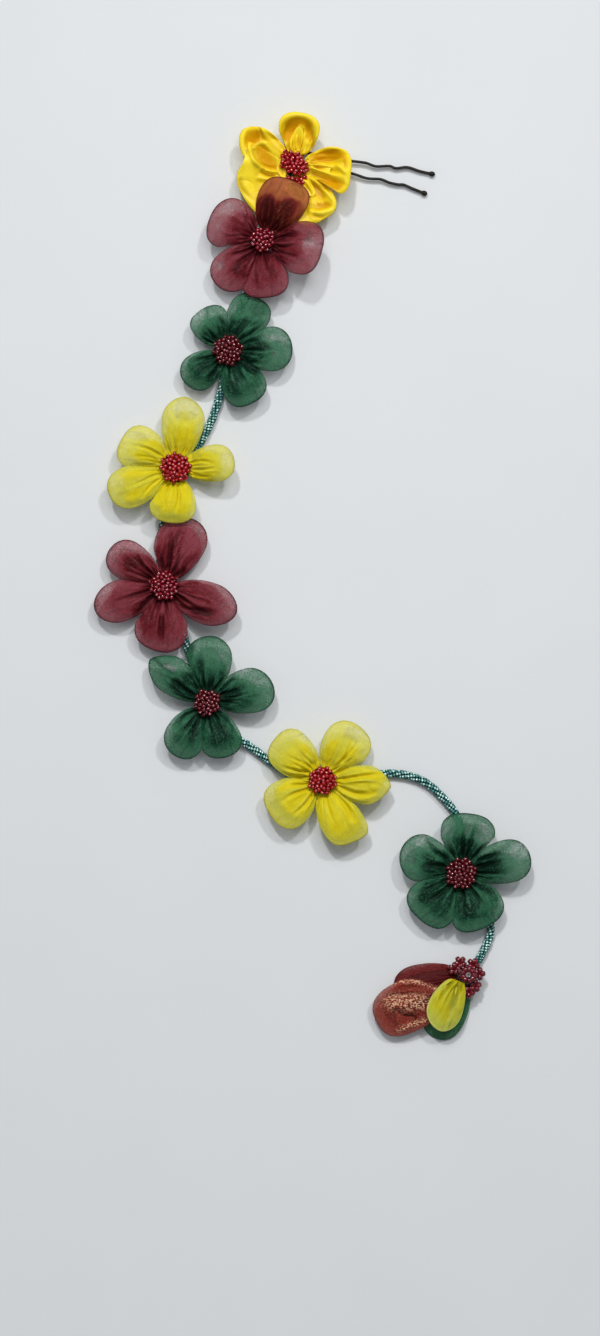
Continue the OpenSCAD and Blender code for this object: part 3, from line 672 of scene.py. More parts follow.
MAROON_A_PATCHES = (
    (6, 19, 11, 9, -20, 0, -0.3), (13.8, 20, 4.8, 2.8, -40, 0.3, 1), (0.2, 11, 7.6, 4.6, 84, 0, -1),
    (11, 10, 7.6, 5.4, 46, 0, -0.7), (-16, 5.8, 4, 3, 10, 0, 0.4), (-16.6, -11, 3, 2.2, 60, 0, 0.6),
    (-14, 13.4, 5, 2, 20, 0, 0.5), (19, -1.6, 4.6, 2.4, 80, 0, 0.6), (17, -8.6, 2.6, 1.6, 40, 0, 0.5),
    (6.6, 9, 6, 4, 60, 0, -0.9), (11, 2, 4, 2.2, 0, 0, -0.6), (-9, -14, 3, 4.6, 10, 0, -0.5),
)
GREEN_A_PATCHES = (
    # The patch at 13, 18 below 0 is a painted shadow cast by the maroon petal that lies over this one.
    (-12.4, 14, 4, 2.6, 70, 0, 0.9), (4.6, 17, 5, 2.8, 80, 0, 0.7), (13, 18, 4, 4, 0, 0, -0.6),
    (20, 4, 4.6, 3, 0, 0, 0.5), (-15, -7.6, 3.6, 2.2, 60, 0, 0.3), (-6, -10.6, 3.4, 2.4, 60, 0, -0.8),
    (11.6, 0, 4.4, 4.6, 0, 0, -0.8), (9, -6.6, 5.4, 2.4, 145, 0, -0.8), (3, 9, 6, 3, 40, 0, -0.6),
)
YELLOW_A_PATCHES = (
    (4.4, 24, 5.6, 5.4, 0, 0, 0.8), (4, 14, 4, 2.4, 80, 0, -0.4), (-16, 13.4, 6.6, 2, 170, 0, 0.6),
    (-18.4, -11.6, 3.6, 2.6, 30, 0, -0.7), (-24, -13, 4, 2.6, 60, 0, 0.3),
    (-3.6, -15.6, 3.6, 2.4, 80, 0, -0.6), (-4, -12, 5, 3.4, 80, 0, -0.4), (21, 3, 3, 4.6, 0, 0, 0.5),
    (12, -4.6, 5, 1.4, 170, 0, -0.6),
)
MAROON_B_PATCHES = (
    (11.6, 19, 7, 4.2, 70, 0, 0.55), (1.6, 15, 8, 2.2, 80, 0, -0.7), (-13.6, 9, 4, 2.6, 40, 0.3, -0.8),
    (-21, 15, 3.6, 1.6, 45, 0, 0.4), (-25, -3.6, 4, 2, 50, 0, 0.5), (-1, -18, 5, 2.2, 90, 0.2, -0.7),
    (16.6, -11, 5, 2, 175, 0.3, -0.9), (22, -6.6, 4.6, 1.6, 150, 0, 0.5), (-10, -9.6, 5, 2.6, 50, 0, -0.6),
)
GREEN_B_PATCHES = (
    (2.6, 18.6, 5.4, 4, 100, 0, 0.6), (-7.4, 21, 5, 2.2, 70, 0, -0.7), (14.6, 14, 4, 2.2, 10, 0, 0.7),
    (20, 7, 4.4, 2.6, 20, 0, 0.4), (-11, 8, 4.4, 3.2, 30, 0, -0.8), (-15.4, 14.6, 3.4, 1.2, 150, 0, 0.5),
    (-14.6, -13, 4, 3, 50, 0, 0.4), (-5.4, -12, 4.6, 2.2, 80, 0, -0.8), (4.6, -13, 5, 3.6, 90, 0, -0.6),
    (10, 3.6, 5, 2.2, 10, 0, -0.7),
)
YELLOW_B_PATCHES = (
    (14.6, 19, 6, 3, 150, 0, 0.6), (-10, 17, 6.6, 2.6, 20, 0, 0.6), (-20, -7, 2.8, 5, 20, 0, 0.5),
    (-8, 5.6, 5, 1.8, 170, 0, -0.5), (12, -12.6, 4.6, 1.8, 120, 0.3, -0.8),
    (18, -5.4, 5.4, 1.6, 5, 0.2, -0.7), (22, 2.6, 5, 1.4, 5, 0, -0.5),
)
GREEN_C_PATCHES = (
    (9.4, 16.8, 4.2, 3.4, 110, 0, 0.9), (-5.6, 17.6, 3, 2, 60, 0, 0.6), (2.6, 18.6, 3.6, 1, 70, 0, 0.6),
    (-21.6, 7.6, 4, 3.6, 40, 0, 0.6), (-17, 14, 3, 2, 60, 0, 0.6), (24, 9.6, 4, 3.6, 0, 0, 0.8),
    (-12, 3, 5, 3.4, 10, 0, -0.6), (2, 11, 4, 3.4, 0, 0, -0.7), (-12.6, -9, 5.4, 3.2, 30, 0, -0.7),
    (3, -12.4, 5.4, 4.6, 90, 0, -0.6), (12, 4, 5, 3.6, 20, 0, -0.7),
)
# The first patch is the petal's hollow, dipped and darkened with painted shade.
GOLD_PATCHES = ((-11, -7, 4.4, 1.8, 15, 0.8, -1.4), (-20, -3, 4.6, 4, 30, 0, -0.2))
# Each flower's row is name, middle x and y, radius of its beads, cloth, petals, folds and patches.
FLOWERS = (
    ("satin", -7.8, 173, 5.2, "yellow_satin", SATIN_PETALS, SATIN_FOLDS, SATIN_PATCHES),
    ("maroon_a", -20.8, 141.1, 5.6, "maroon_organza", MAROON_A_PETALS, MAROON_A_FOLDS, MAROON_A_PATCHES),
    ("green_a", -35.5, 94.9, 6.7, "green_organza", GREEN_A_PETALS, GREEN_A_FOLDS, GREEN_A_PATCHES),
    ("yellow_a", -57.3, 45.8, 6.9, "yellow_organza", YELLOW_A_PETALS, YELLOW_A_FOLDS, YELLOW_A_PATCHES),
    ("maroon_b", -62, -3.4, 6.6, "maroon_organza", MAROON_B_PETALS, MAROON_B_FOLDS, MAROON_B_PATCHES),
    ("green_b", -44.1, -52.3, 6.1, "green_organza", GREEN_B_PETALS, GREEN_B_FOLDS, GREEN_B_PATCHES),
    ("yellow_b", 4, -84.8, 6.4, "yellow_organza", YELLOW_B_PETALS, YELLOW_B_FOLDS, YELLOW_B_PATCHES),
    ("green_c", 62.2, -123.7, 7, "green_organza", GREEN_C_PETALS, GREEN_C_FOLDS, GREEN_C_PATCHES),
)
# The half-open petals at the tip. The columns are name, x and y, angle, reach, width, height of the
# underside, tip, the turns to the neighbours on the right and left, share of doubled cloth, cloth, folds and
# patches.
BUD_PETALS = (
    ("green", 64.9, -165.9, 244, 30.6, 16, 0.4, 2.2, 53, 180, 0.9, "green_organza", (), ()),
    ("maroon", 64.9, -165.9, 191, 31, 15.5, 0.4, 2.2, 180, 53, 0.85, "maroon_organza", (), ()),
    ("gold", 64.9, -165.9, 208, 43, 22, 3.9, 2.8, 180, 180, 0.85, "gold_organza", GOLD_FOLDS, GOLD_PATCHES),
    ("yellow", 62.4, -164.6, 249, 26.5, 16, 7.4, 1.9, 180, 180, 0.88, "yellow_organza", BUD_YELLOW_FOLDS, ()),
)
BUD_PUFF = 1
BUD_SKIRT = 7.2
BUD_SEED = 900
# The bud's folds and patches are given from this point.
BUD_MIDDLE = (50, -178)
# How much painted shade darkens the gathered cloth right at the beads
ROOT_SHADE = {"yellow_satin": 0.3, "maroon_organza": 0.6, "green_organza": 0.8, "yellow_organza": 0.1,
              "gold_organza": 0.6}


class Shape:
    """A petal's plan, drawn along +X from its flower's middle."""

    def __init__(self, name, reach, width, tip, bend, turns, skirt, overlap_at=None):
        self.name, self.reach, self.width, self.tip, self.bend = name, reach, width, tip, bend
        self.turns, self.skirt, self.overlap_at = turns, skirt, overlap_at
        self.wider = WIDER_SIDES.get(name, (1, 1))

    def half_width(self, t):
        rise = np.sin(math.pi / 2 * np.clip(t / BELLY, 0, 1)) ** FULLNESS
        fall = np.clip((t - BELLY) / (1 - BELLY), 0, 1) ** self.tip
        wide = self.width / 2
        return np.where(t < BELLY, ROOT_HALF + (wide - ROOT_HALF) * rise, wide * (1 - fall) ** (1 / self.tip))

    def room(self, d, turn):
        if turn > FREE_TURN:
            return d * 4
        half = math.radians(turn / 2)
        return d * math.tan(half) - SEAM / 2 / math.cos(half)

    def edges(self, d):
        """The right and left edge at distance d from the flower's middle."""
        t = np.clip((d - ROOT_R) / (self.reach - ROOT_R), 0, 1)
        half, bend = self.half_width(t), self.bend * t * t
        right = np.maximum(bend - half * self.wider[0], -self.room(d, self.turns[0]))
        left = np.minimum(bend + half * self.wider[1], self.room(d, self.turns[1]))
        return right, left

    def rim(self, rng, wander):
        """Points along the folded rim, evenly spaced from the right of the root round the tip to the left."""
        d = ROOT_R + (self.reach - ROOT_R) * np.sin(np.linspace(0, math.pi / 2, RIM_STEPS))
        right, left = self.edges(d)
        line = np.concatenate([np.stack([d, right], 1), np.stack([d, left], 1)[-2::-1]])
        for _ in range(RIM_SMOOTHINGS):
            line[1:-1] = (line[:-2] + 2 * line[1:-1] + line[2:]) / 4
        line, length = even(line, COLUMNS + 1, RIM_TRIM)
        share = np.linspace(0, 1, COLUMNS + 1)
        way = unit(line - [self.reach * 0.45, 0])
        wave = ripples(share * 40, 0 * share, rng, 14) * np.sin(math.pi * share) ** 2
        return line + way * wave[:, None] * wander, length

    def shares(self, x, y):
        """How far along the open part each point lies, and how far across."""
        s = np.clip((x - self.skirt) / (self.reach - self.skirt), 0, 1)
        right, left = self.edges(x)
        q = np.clip((2 * y - right - left) / np.maximum(left - right, 1e-3), -1, 1)
        return s, q

    def fan(self, rng, rows, wander=0.45):
        """A table of points over the plan: rows from the root to the rim, columns along the rim."""
        rim, span = self.rim(rng, wander)
        v = np.linspace(0, 1, COLUMNS + 1)
        root = np.stack([np.full_like(v, ROOT_R), (2 * v - 1) * ROOT_HALF], 1)
        r = 1 - (1 - np.linspace(0, 1, rows + 1)[:, None]) ** 1.4
        x, y = (root[:, k] + (rim - root)[:, k] * r for k in (0, 1))
        return x, y, v + 0 * x, r + 0 * x, span


def gathers(rng, v, r, span, sharp=1, wide=1):
    """Pleats that run out from the root: heights in millimetres and how deep each point is in a crease."""
    count = int(rng.integers(5, 8) / wide)
    height, crease = np.zeros_like(r), np.zeros_like(r)
    spread = 2 * ROOT_HALF * (1 - r) + span * r
    for k in range(count):
        at = 0.08 + 0.84 * (k + 0.5 + rng.uniform(-0.42, 0.42)) / count
        length = rng.uniform(0.3, 0.8)
        depth = rng.uniform(0.35, 0.75) * sharp
        width = (rng.uniform(0.2, 0.42) + rng.uniform(0.6, 1.8) * r) * wide
        drift = rng.uniform(-0.07, 0.07)
        x = (v - at - drift * r) * spread / width
        fade = smoothstep(length, 0.15 * length, r)
        height += depth * fade * (0.4 * np.exp(-((np.abs(x) - 1.9) ** 2) / 1.1) - np.exp(-x * x))
        # The crease later darkens the cloth: partly denser cloth, partly painted shade.
        crease += rng.uniform(0.25, 0.65) * fade * np.exp(-x * x)
    return height, crease


def lit_ridges(rng, v, r, span):
    """Thin raised ridges along the gathers, which also get a painted highlight, as strong as 1 at most."""
    total = np.zeros_like(r)
    spread = 2 * ROOT_HALF * (1 - r) + span * r
    for _ in range(LIT_RIDGE_COUNT):
        at, drift = rng.uniform(0.05, 0.95), rng.uniform(-0.12, 0.12)
        start, end = rng.uniform(0.05, 0.3), rng.uniform(0.4, 0.95)
        x = (v - at - drift * (r - start)) * spread / rng.uniform(0.25, 0.5)
        here = smoothstep(start - 0.05, start + 0.08, r) * smoothstep(end + 0.1, end - 0.1, r)
        total += rng.uniform(0.4, 0.9) * np.exp(-x * x) * here
    return np.clip(total, 0, 1)


def bands(rng, v, r):
    """Darker and lighter rays where the cloth lies folded over itself."""
    across = v * 30 + rng.uniform(-1, 1) * 3 * r
    return ripples(across, 2 * r, rng, 5.5) * smoothstep(1, 0.5, r) * smoothstep(0, 0.2, r)


def fold_fields(x, y, folds, patches):
    """Height, crease, lightness and darkening from the folds and patches near each point. Valleys add painted
    shade through the crease and ridges a painted highlight through the lightness; in the patches, lightness
    and darkening are partly thinner or denser cloth and partly painted light and painted shade.
    """
    height, crease, light, darkening = (np.zeros_like(x) for _ in range(4))
    for *ends, width, rise in folds:
        t = np.linspace(0, 1, FOLD_STEPS + 1)[:, None]
        start, middle, end = np.reshape(ends, (3, 2))
        bow = 2 * middle - (start + end) / 2
        line = (1 - t) ** 2 * start + 2 * t * (1 - t) * bow + t * t * end
        near, along = np.full(x.shape, 1e9), np.zeros(x.shape)
        for k, (a, b) in enumerate(zip(line[:-1], line[1:])):
            run = b - a
            u = np.clip(((x - a[0]) * run[0] + (y - a[1]) * run[1]) / (run @ run), 0, 1)
            gap = np.hypot(x - a[0] - u * run[0], y - a[1] - u * run[1])
            along = np.where(gap < near, (k + u) / FOLD_STEPS, along)
            near = np.minimum(near, gap)
        q = near / width
        fade = 1 - 0.75 * smoothstep(0.55, 1, along)
        core = fade * np.exp(-q * q)
        height += rise * core
        # Valleys darken the cloth with painted shade through the crease, and ridges light it with a painted
        # highlight.
        if rise < 0:
            height -= 0.35 * rise * fade * np.exp(-((q - 2) ** 2) / 0.7)
            crease += core * min(1, -rise)
        else:
            light += 0.7 * core * min(1, rise)
    for x1, y1, long, wide, turn, dip, shade in patches:
        c, s = cos_sin(turn)
        q = np.hypot(((x - x1) * c + (y - y1) * s) / long, ((y - y1) * c - (x - x1) * s) / wide)
        inside = smoothstep(1.2, 0.75, q)
        height -= dip * inside
        light += max(shade, 0) * inside
        darkening += max(-shade, 0) * inside
    return height, crease, light, darkening


def fields_at(folds, patches, angle, dx=0, dy=0):
    """The folds and patches of a flower as a function of a petal's own plan."""
    c, s = cos_sin(angle)
    return lambda x, y: fold_fields(x * c - y * s + dx, x * s + y * c + dy, folds, patches)


def roundness(q, r):
    """1 over the middle of a petal and 0 at its folded rim."""
    return (1 - np.abs(q) ** 2.6) ** 0.6 * np.sqrt(1 - r ** 7)


def lifted(under, lift, s):
    return under + lift * np.sin(math.pi / 2 * s)


def thickness(puff, s):
    return ROOT_H * (1 - 0.4 * s) + puff * np.sin(math.pi * s ** 0.8)


def cup_depth(s):
    return ROOT_H * (1 - 0.55 * smoothstep(0, 0.5, s))


def sheet(x, y, z, r, density_and_shade, crease, light):
    return {"x": x, "y": y, "z": z, "r": r, "density_and_shade": np.clip(density_and_shade + 0 * x, -1, 2),
            "crease": np.clip(crease + 0 * x, 0, 1), "light": np.clip(light + 0 * x, 0, 1)}


def pouch_sheets(shape, under, lift, puff, lobe, rng, fields, root_shade):
    """The upper sheet, the lower sheet and the inner layer of cloth between them of one gathered pouch."""
    sheets = []
    seed, wave_at = int(rng.integers(1e6)), rng.uniform(0, 6.3)
    for side, rows in ((1, ROWS), (-1, UNDER_ROWS)):
        # Both sheets share one random rim.
        x, y, v, r, span = shape.fan(np.random.default_rng(seed), rows)
        s, q = shape.shares(x, y)
        tall = thickness(puff, s)
        rim_z = lifted(under, lift, s) + RIM * tall
        rim_z = rim_z + RIM_WAVE * np.sin(3 * math.pi * v + wave_at) * r ** 3 * smoothstep(0, 0.3, s)
        full = roundness(q, r)
        height, crease = gathers(rng, v, r, span)
        # Painted shade darkens the cloth right at the beads.
        crease = crease + root_shade * np.exp(-(r / 0.2) ** 2)
        light = darkening = 0
        if side > 0:
            # The folds and patches add painted shade in their valleys and painted highlight on their ridges,
            # and the lit ridges a painted highlight of their own.
            more, deeper, light, darkening = fields(x, y)
            lines = lit_ridges(rng, v, r, span)
            height, crease = height + more + LIT_RIDGE_HEIGHT * lines, crease + deeper
            light = light + RIDGE_HIGHLIGHT * lines
        share = (1 - RIM) if side > 0 else -RIM
        z = rim_z + share * tall * full + side * height * np.sqrt(full)
        z = z + WRINKLE * ripples(x, y, rng, 4) * full
        soft = rng.uniform(0.07, 0.2)
        inner = smoothstep(lobe + soft, lobe - soft, r + 0.07 * ripples(v * 30, 0 * v, rng, 9))
        density_and_shade = inner * (0.72 + 0.34 * (1 - r)) + 0.5 * bands(rng, v, r) + darkening
        sheets.append(sheet(x, y, z, r, density_and_shade, crease, light))
    x, y, v, r, span = shape.fan(rng, INNER_ROWS, 0)
    far = lobe + 0.05 * ripples(v * 30, 0 * v, rng, 12)
    x = ROOT_R + (x - ROOT_R) * far
    y = y * (far * r + (1 - r))
    s, q = shape.shares(x, y)
    z = lifted(under, lift, s) + (RIM + 0.12 * (1 - q * q)) * thickness(puff, s)
    height, crease = gathers(rng, v, r, span, 0.7)
    z = z + height + 0.3 * ripples(x, y, rng, 6)
    faint = rng.choice((0.1, 1.1))
    density_and_shade = 0.5 + 0.4 * (1 - r) - faint * smoothstep(0.7, 1, r + 0.12 * ripples(v * 30, 6 * r, rng, 9))
    # The inner sheet gets half the painted highlight of the folds and patches.
    sheets.append(sheet(x, y, z, r, density_and_shade, 0.5 * crease, 0.5 * fields(x, y)[2]))
    return sheets


def overlap_sheet(angle, rng, fields):
    """The second fold of the satin petal with this angle, in the petal's own plan."""
    c, s = cos_sin(angle)
    turn = np.array([[c, -s, 0], [s, c, 0], [0, 0, 1]])
    edge, _ = even(smooth_path(OVERLAP_EDGE, 12), COLUMNS + 1)
    edge, ends = edge @ turn, np.array(OVERLAP_ROOT) @ turn
    root = ends[0] + (ends[1] - ends[0]) * np.linspace(0, 1, COLUMNS + 1)[:, None]
    r = np.linspace(0, 1, ROWS + 1)[:, None]
    x, y = (root[:, k] + (edge - root)[:, k] * r for k in (0, 1))
    z = root[:, 2] + (edge - root)[:, 2] * r ** 0.7
    height, crease, light, darkening = fields(x, y)
    z = z + height * smoothstep(0.1, 0.3, r) + 0.2 * ripples(x, y, rng, 7) * r
    # A painted highlight along the fold's free edge.
    return sheet(x, y, z, r + 0 * x, darkening, crease, light + 0.5 * smoothstep(0.93, 1, r))


def cup_sheets(shape, under, lift, cup, lobe, rng, fields, root_shade):
    """The sheets of one cupped satin petal: its rim stands up and rolls over, and a lip or a second fold
    lies inside it."""
    sheets = []
    seed = int(rng.integers(1e6))
    for side, rows in ((1, ROWS), (-1, UNDER_ROWS)):
        x, y, v, r, span = shape.fan(np.random.default_rng(seed), rows, 0.5)
        s, q = shape.shares(x, y)
        base = lifted(under, lift, s)
        rim_z = base + SATIN * 0.6 + cup * 1.1 * smoothstep(0, 0.35, s)
        lower = base + (rim_z - base) * smoothstep(0.5, 1, r) ** 1.5
        full = roundness(q, r)
        height, crease = gathers(rng, v, r, span, 1.1, 1.8)
        # Painted shade darkens the cloth right at the beads.
        crease = crease + root_shade * np.exp(-(r / 0.16) ** 2)
        wave = 0.25 * ripples(x, y, rng, 8) * full
        if side > 0:
            more, deeper, light, darkening = fields(x, y)
            height, crease = height + more, crease + deeper
            wall = smoothstep(0.55, 0.9, np.maximum(r, np.abs(q) ** 2 * smoothstep(0.05, 0.3, s)))
            floor = base + cup_depth(s) + 0.2
            z = floor + (rim_z + ROLL - floor) * wall
            z = z + (rim_z - z) * smoothstep(0.93, 1, r) ** 2
            z = np.maximum(z + height * np.sqrt(full) + wave, lower + 0.6 * full)
        else:
            light = darkening = 0
            z = lower - 0.4 * height * np.sqrt(full) + wave
        # A painted highlight along the rolled rim.
        sheets.append(sheet(x, y, z, r, darkening, crease, light + SATIN_RIM_LIGHT * smoothstep(0.84, 0.95, r)))
    if shape.overlap_at is not None:
        return [*sheets, overlap_sheet(shape.overlap_at, rng, fields)]
    x, y, v, r, span = shape.fan(rng, INNER_ROWS, 0)
    x, y = ROOT_R + (x - ROOT_R) * lobe, y * LIP_SHARE
    s, _ = shape.shares(x, y)
    curl = smoothstep(0.5, 0.95, np.maximum(r, np.abs(2 * v - 1) ** 3))
    z = lifted(under, lift, s) + cup_depth(s) + 0.3 + 0.9 * curl
    height, crease = gathers(rng, v, r, span * LIP_SHARE, 0.6, 1.8)
    # Golden painted shade inside the lip and a painted highlight on its curled edge.
    density_and_shade = 0.75 * (1 - curl) * smoothstep(0.1, 0.4, r)
    sheets.append(sheet(x, y, z + height, r, density_and_shade, 0.6 * crease, 0.8 * curl))
    return sheets


def join_sheets(sheets):
    """One mesh of an upper and a lower sheet that share their rim, and of a sheet between them."""
    tables, faces = [], []
    columns = {key: [] for key in ("x", "y", "z", "density_and_shade", "crease", "light", "hem")}
    used = 0
    for number, values in enumerate(sheets):
        index = np.full(values["x"].shape, -1)
        own = np.ones(index.shape, bool)
        if number == 1:
            index[-1] = tables[0][-1]
            own[-1] = False
        index[own] = used + np.arange(own.sum())
        used += own.sum()
        tables.append(index)
        faces += grid_faces(index[:, ::-1] if number == 0 else index)
        values["hem"] = smoothstep(0.955, 0.99, values["r"]) * (number < 2)
        for key, column in columns.items():
            column.append(values[key][own])
    return {key: np.concatenate(column) for key, column in columns.items()}, faces


def gold_edge(x):
    """The upper edge of the gold petal's painted glitter, above which the cloth is plain maroon."""
    return 9.2 - 0.024 * (x + 9.7) ** 2


def gold_glitter(x, y):
    """Painted glitter on the gold threads: most along the middle of the petal and on the ridges above and
    below it.
    """
    middle = np.exp(-(((y - 0.6) / 3.0) ** 2)) * smoothstep(-23, -17, x) * smoothstep(0, -4, x)
    above = np.exp(-(((y - gold_edge(x)) / 0.9) ** 2)) * smoothstep(-20, -16, x)
    below = np.exp(-(((y + 9.4 - 0.4 * (x + 9)) / 1.3) ** 2)) * smoothstep(-16, -13, x)
    return np.clip(middle + 0.8 * above + 0.9 * below + 0.05, 0, 1)


def petal_piece(shape, x0, y0, angle, sheets, cloth):
    """A petal is a strip folded across its middle, so that the fold is its rim, and gathered at the root."""
    name = shape.name
    flat, faces = join_sheets(sheets)
    c, s = cos_sin(angle)
    x = x0 + flat["x"] * c - flat["y"] * s
    y = y0 + flat["x"] * s + flat["y"] * c
    attributes = {key: flat[key] for key in ("density_and_shade", "crease", "light", "hem")}
    if cloth == "gold_organza":
        bud_x, bud_y = x - BUD_MIDDLE[0], y - BUD_MIDDLE[1]
        attributes["glitter"] = gold_glitter(bud_x, bud_y)
        attributes["plain"] = smoothstep(0.4, 1.4, bud_y - gold_edge(bud_x))
    look = CLOTHS.get(f"bud_{cloth}" if name.startswith("bud") else name, CLOTHS[cloth])
    piece = mesh_piece(f"{name}_cloth", np.stack([x, y, flat["z"]], 1), faces, [look], attributes,
                       np.stack([flat["y"], flat["x"]], 1) * MM)
    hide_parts(name)


def make_flower(number, name, x0, y0, bead_r, cloth, petals, folds, patches):
    is_satin = cloth == "yellow_satin"
    skirt = bead_r + (SATIN_SPREAD if is_satin else 0) + 0.5
    make = cup_sheets if is_satin else pouch_sheets
    for i, (angle, reach, width, lift, puff, tip, bend, lobe) in enumerate(petals):
        rng = np.random.default_rng(number * 100 + i)
        before, after = petals[i - 1][0], petals[(i + 1) % len(petals)][0]
        turns = ((angle - before) % 360, (after - angle) % 360)
        petal = f"{name}_petal_{i + 1}"
        shape = Shape(petal, reach, width, tip, bend, turns, skirt, angle if petal == OVERLAPPING else None)
        fields = fields_at(folds, patches, angle)
        sheets = make(shape, SOLE_Z, lift, puff, lobe, rng, fields, ROOT_SHADE[cloth])
        petal_piece(shape, x0, y0, angle, sheets, cloth)


def make_bud_petal(number, name, x0, y0, angle, reach, width, under, tip, right, left, lobe, cloth,
                   folds, patches):
    shape = Shape(f"bud_petal_{name}", reach, width, tip, 0, (right, left), BUD_SKIRT)
    fields = fields_at(folds, patches, angle, x0 - BUD_MIDDLE[0], y0 - BUD_MIDDLE[1])
    rng = np.random.default_rng(BUD_SEED + number)
    sheets = pouch_sheets(shape, under, 0, BUD_PUFF, lobe, rng, fields, ROOT_SHADE[cloth])
    petal_piece(shape, x0, y0, angle, sheets, cloth)


for number, row in enumerate(FLOWERS, 1):
    make_flower(number, *row)
for number, row in enumerate(BUD_PETALS):
    make_bud_petal(number, *row)


# Beads

BEAD_D = 2.1
BEAD_LENGTH = 1.5
BUTTON_SIDE = 1.2
BUTTON_CROWN = 2
BEAD_GAP = 0.3
BUTTON_SEED = 300
# Beads beyond the lower edge of the satin flower's button: x, y and height from the button's middle
SATIN_LOW_BEADS = (
    (-2.4, -6, 0.6), (-0.6, -6.3, 0.9), (1.2, -6.6, 1), (3, -6.6, 0.8), (4.6, -5.8, 0.7), (0.2, -7.9, 0.4),
    (2, -8.2, 0.5), (3.7, -7.9, 0.4),
)


def bead_mesh(sides, rounds, outer, length, hole=0.34):
    """Points and faces of one drilled bead along +Z, centred at the origin."""
    ring = (outer - hole * outer) / 2
    turn, roll = circle(sides), circle(rounds)
    away = (outer - ring) + ring * np.sign(np.cos(roll)) * np.abs(np.cos(roll)) ** 0.8
    up = length / 2 * np.sign(np.sin(roll)) * np.abs(np.sin(roll)) ** 0.8
    points = np.stack([
        np.outer(np.cos(turn), away), np.outer(np.sin(turn), away), np.outer(np.ones(sides), up),
    ], -1).reshape(-1, 3)
    index = np.arange(sides * rounds).reshape(sides, rounds)
    return points, np.array(grid_faces(np.pad(index, (0, 1), "wrap")))


def place_beads(bead, places, axes, rng):
    """Copies of one bead at these places, each with its hole along its axis and the spot of its painted
    highlight near the top.
    """
    points, faces = bead
    axes = unit(axes)
    helper = np.where(np.abs(axes[:, 2:]) < 0.9, [[0.0, 0.0, 1.0]], [[1.0, 0.0, 0.0]])
    side = unit(np.cross(helper, axes))
    frames = np.stack([side, np.cross(axes, side), axes], 1)
    local = np.einsum("pk,nkc->npc", points, frames)
    count = len(places)
    all_faces = faces[None] + (np.arange(count) * len(points))[:, None, None]
    shade = np.repeat(rng.uniform(0, 1, count), len(points))
    spot = np.stack([rng.uniform(-0.4, 0.4, count), rng.uniform(-0.1, 0.6, count), np.ones(count)], 1)
    spot = unit(spot - (spot * axes).sum(1)[:, None] * axes * 0.8)
    facing = np.einsum("npc,nc->np", local, spot) / np.linalg.norm(points, axis=1).max()
    marks = {"shade": shade, "facing": np.clip(facing, 0, 1).ravel()}
    return (local + places[:, None, :]).reshape(-1, 3), all_faces.reshape(-1, 4), marks


def beaded_piece(name, node, beads, core, looks):
    """The beads that stand for a CAD node, joined with the core under them."""
    points, faces, marks = beads
    core_points, core_faces = core
    joined_faces = faces.tolist() + [tuple(i + len(points) for i in f) for f in core_faces]
    marks = {key: np.concatenate([values, np.zeros(len(core_points))]) for key, values in marks.items()}
    piece = mesh_piece(name, np.concatenate([points, core_points]), joined_faces, looks, marks,
                       material_of=[0] * len(faces) + [1] * len(core_faces))
    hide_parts(node)


def dome(middle, r, low, high, rows=8, sides=32):
    """A closed low dome with its flat face down."""
    ring = np.linspace(0, math.pi / 2, rows)[:-1]
    turn = circle(sides)
    away = np.concatenate([[r * 0.6], r * np.cos(ring)])
    up = np.concatenate([[low], low + (high - low) * np.sin(ring)])
    points = np.stack([
        middle[0] + np.outer(away, np.cos(turn)), middle[1] + np.outer(away, np.sin(turn)),
        np.outer(up, np.ones(sides)),
    ], -1).reshape(-1, 3)
    index = np.arange(rows * sides).reshape(rows, sides)
    faces = grid_faces(np.hstack([index, index[:, :1]])[:, ::-1])
    return points, [*faces, tuple(index[-1]), tuple(index[0][::-1])]


def button_places(r, rng, stretch=0):
    """Bead middles in a sunflower pattern over a dome, and the dome's normals there."""
    spacing = BEAD_D * 0.93
    count = int(round(math.pi * r * (r + stretch) / (0.866 * spacing ** 2) * 1.02))
    k = np.arange(count)
    away = np.sqrt((k + 0.4) / count) * (r - BEAD_D * 0.36)
    turn = k * math.pi * (3 - math.sqrt(5)) + rng.uniform(0, 6.3)
    x = away * np.cos(turn) * (1 + stretch / r) + rng.uniform(-0.15, 0.15, count)
    y = away * np.sin(turn) + rng.uniform(-0.15, 0.15, count)
    share = away / r
    z = BUTTON_SIDE + BUTTON_CROWN * np.sqrt(1 - 0.8 * share ** 2) - BEAD_LENGTH * 0.55
    z = z - 0.9 * share ** 3 + rng.uniform(-0.12, 0.12, count)
    return np.stack([x, y, z], 1), np.stack([x / r * 0.9, y / r * 0.9, np.ones(count)], 1)


def make_button(seed, name, x0, y0, r, look):
    rng = np.random.default_rng(seed)
    low = SOLE_Z + ROOT_H + BEAD_GAP
    if name == "satin":
        places, normals = button_places(r, rng, SATIN_SPREAD)
        c, s = cos_sin(SATIN_SLANT)
        spin = np.array([[c, s, 0], [-s, c, 0], [0, 0, 1]])
        places = np.vstack([places @ spin, SATIN_LOW_BEADS])
        normals = np.vstack([normals @ spin, np.tile([0, -0.5, 1], (len(SATIN_LOW_BEADS), 1))])
    else:
        places, normals = button_places(r, rng)
    way = rng.uniform(0, 2 * math.pi, len(places))
    lying = np.stack([np.cos(way), np.sin(way), 0 * way], 1)
    normals = unit(normals)
    lying -= normals * np.sum(lying * normals, axis=1)[:, None]
    axes = lying + normals * rng.uniform(-0.5, 0.5, len(places))[:, None]
    beads = place_beads(bead_mesh(14, 8, BEAD_D / 2, BEAD_LENGTH), places + [x0, y0, low], axes, rng)
    core = dome((x0, y0), r - 0.9, low, low + BUTTON_SIDE + BUTTON_CROWN - 1.3)
    beaded_piece(f"{name}_seed_beads", f"{name}_beads", beads, core, [look, WINE_CORE])


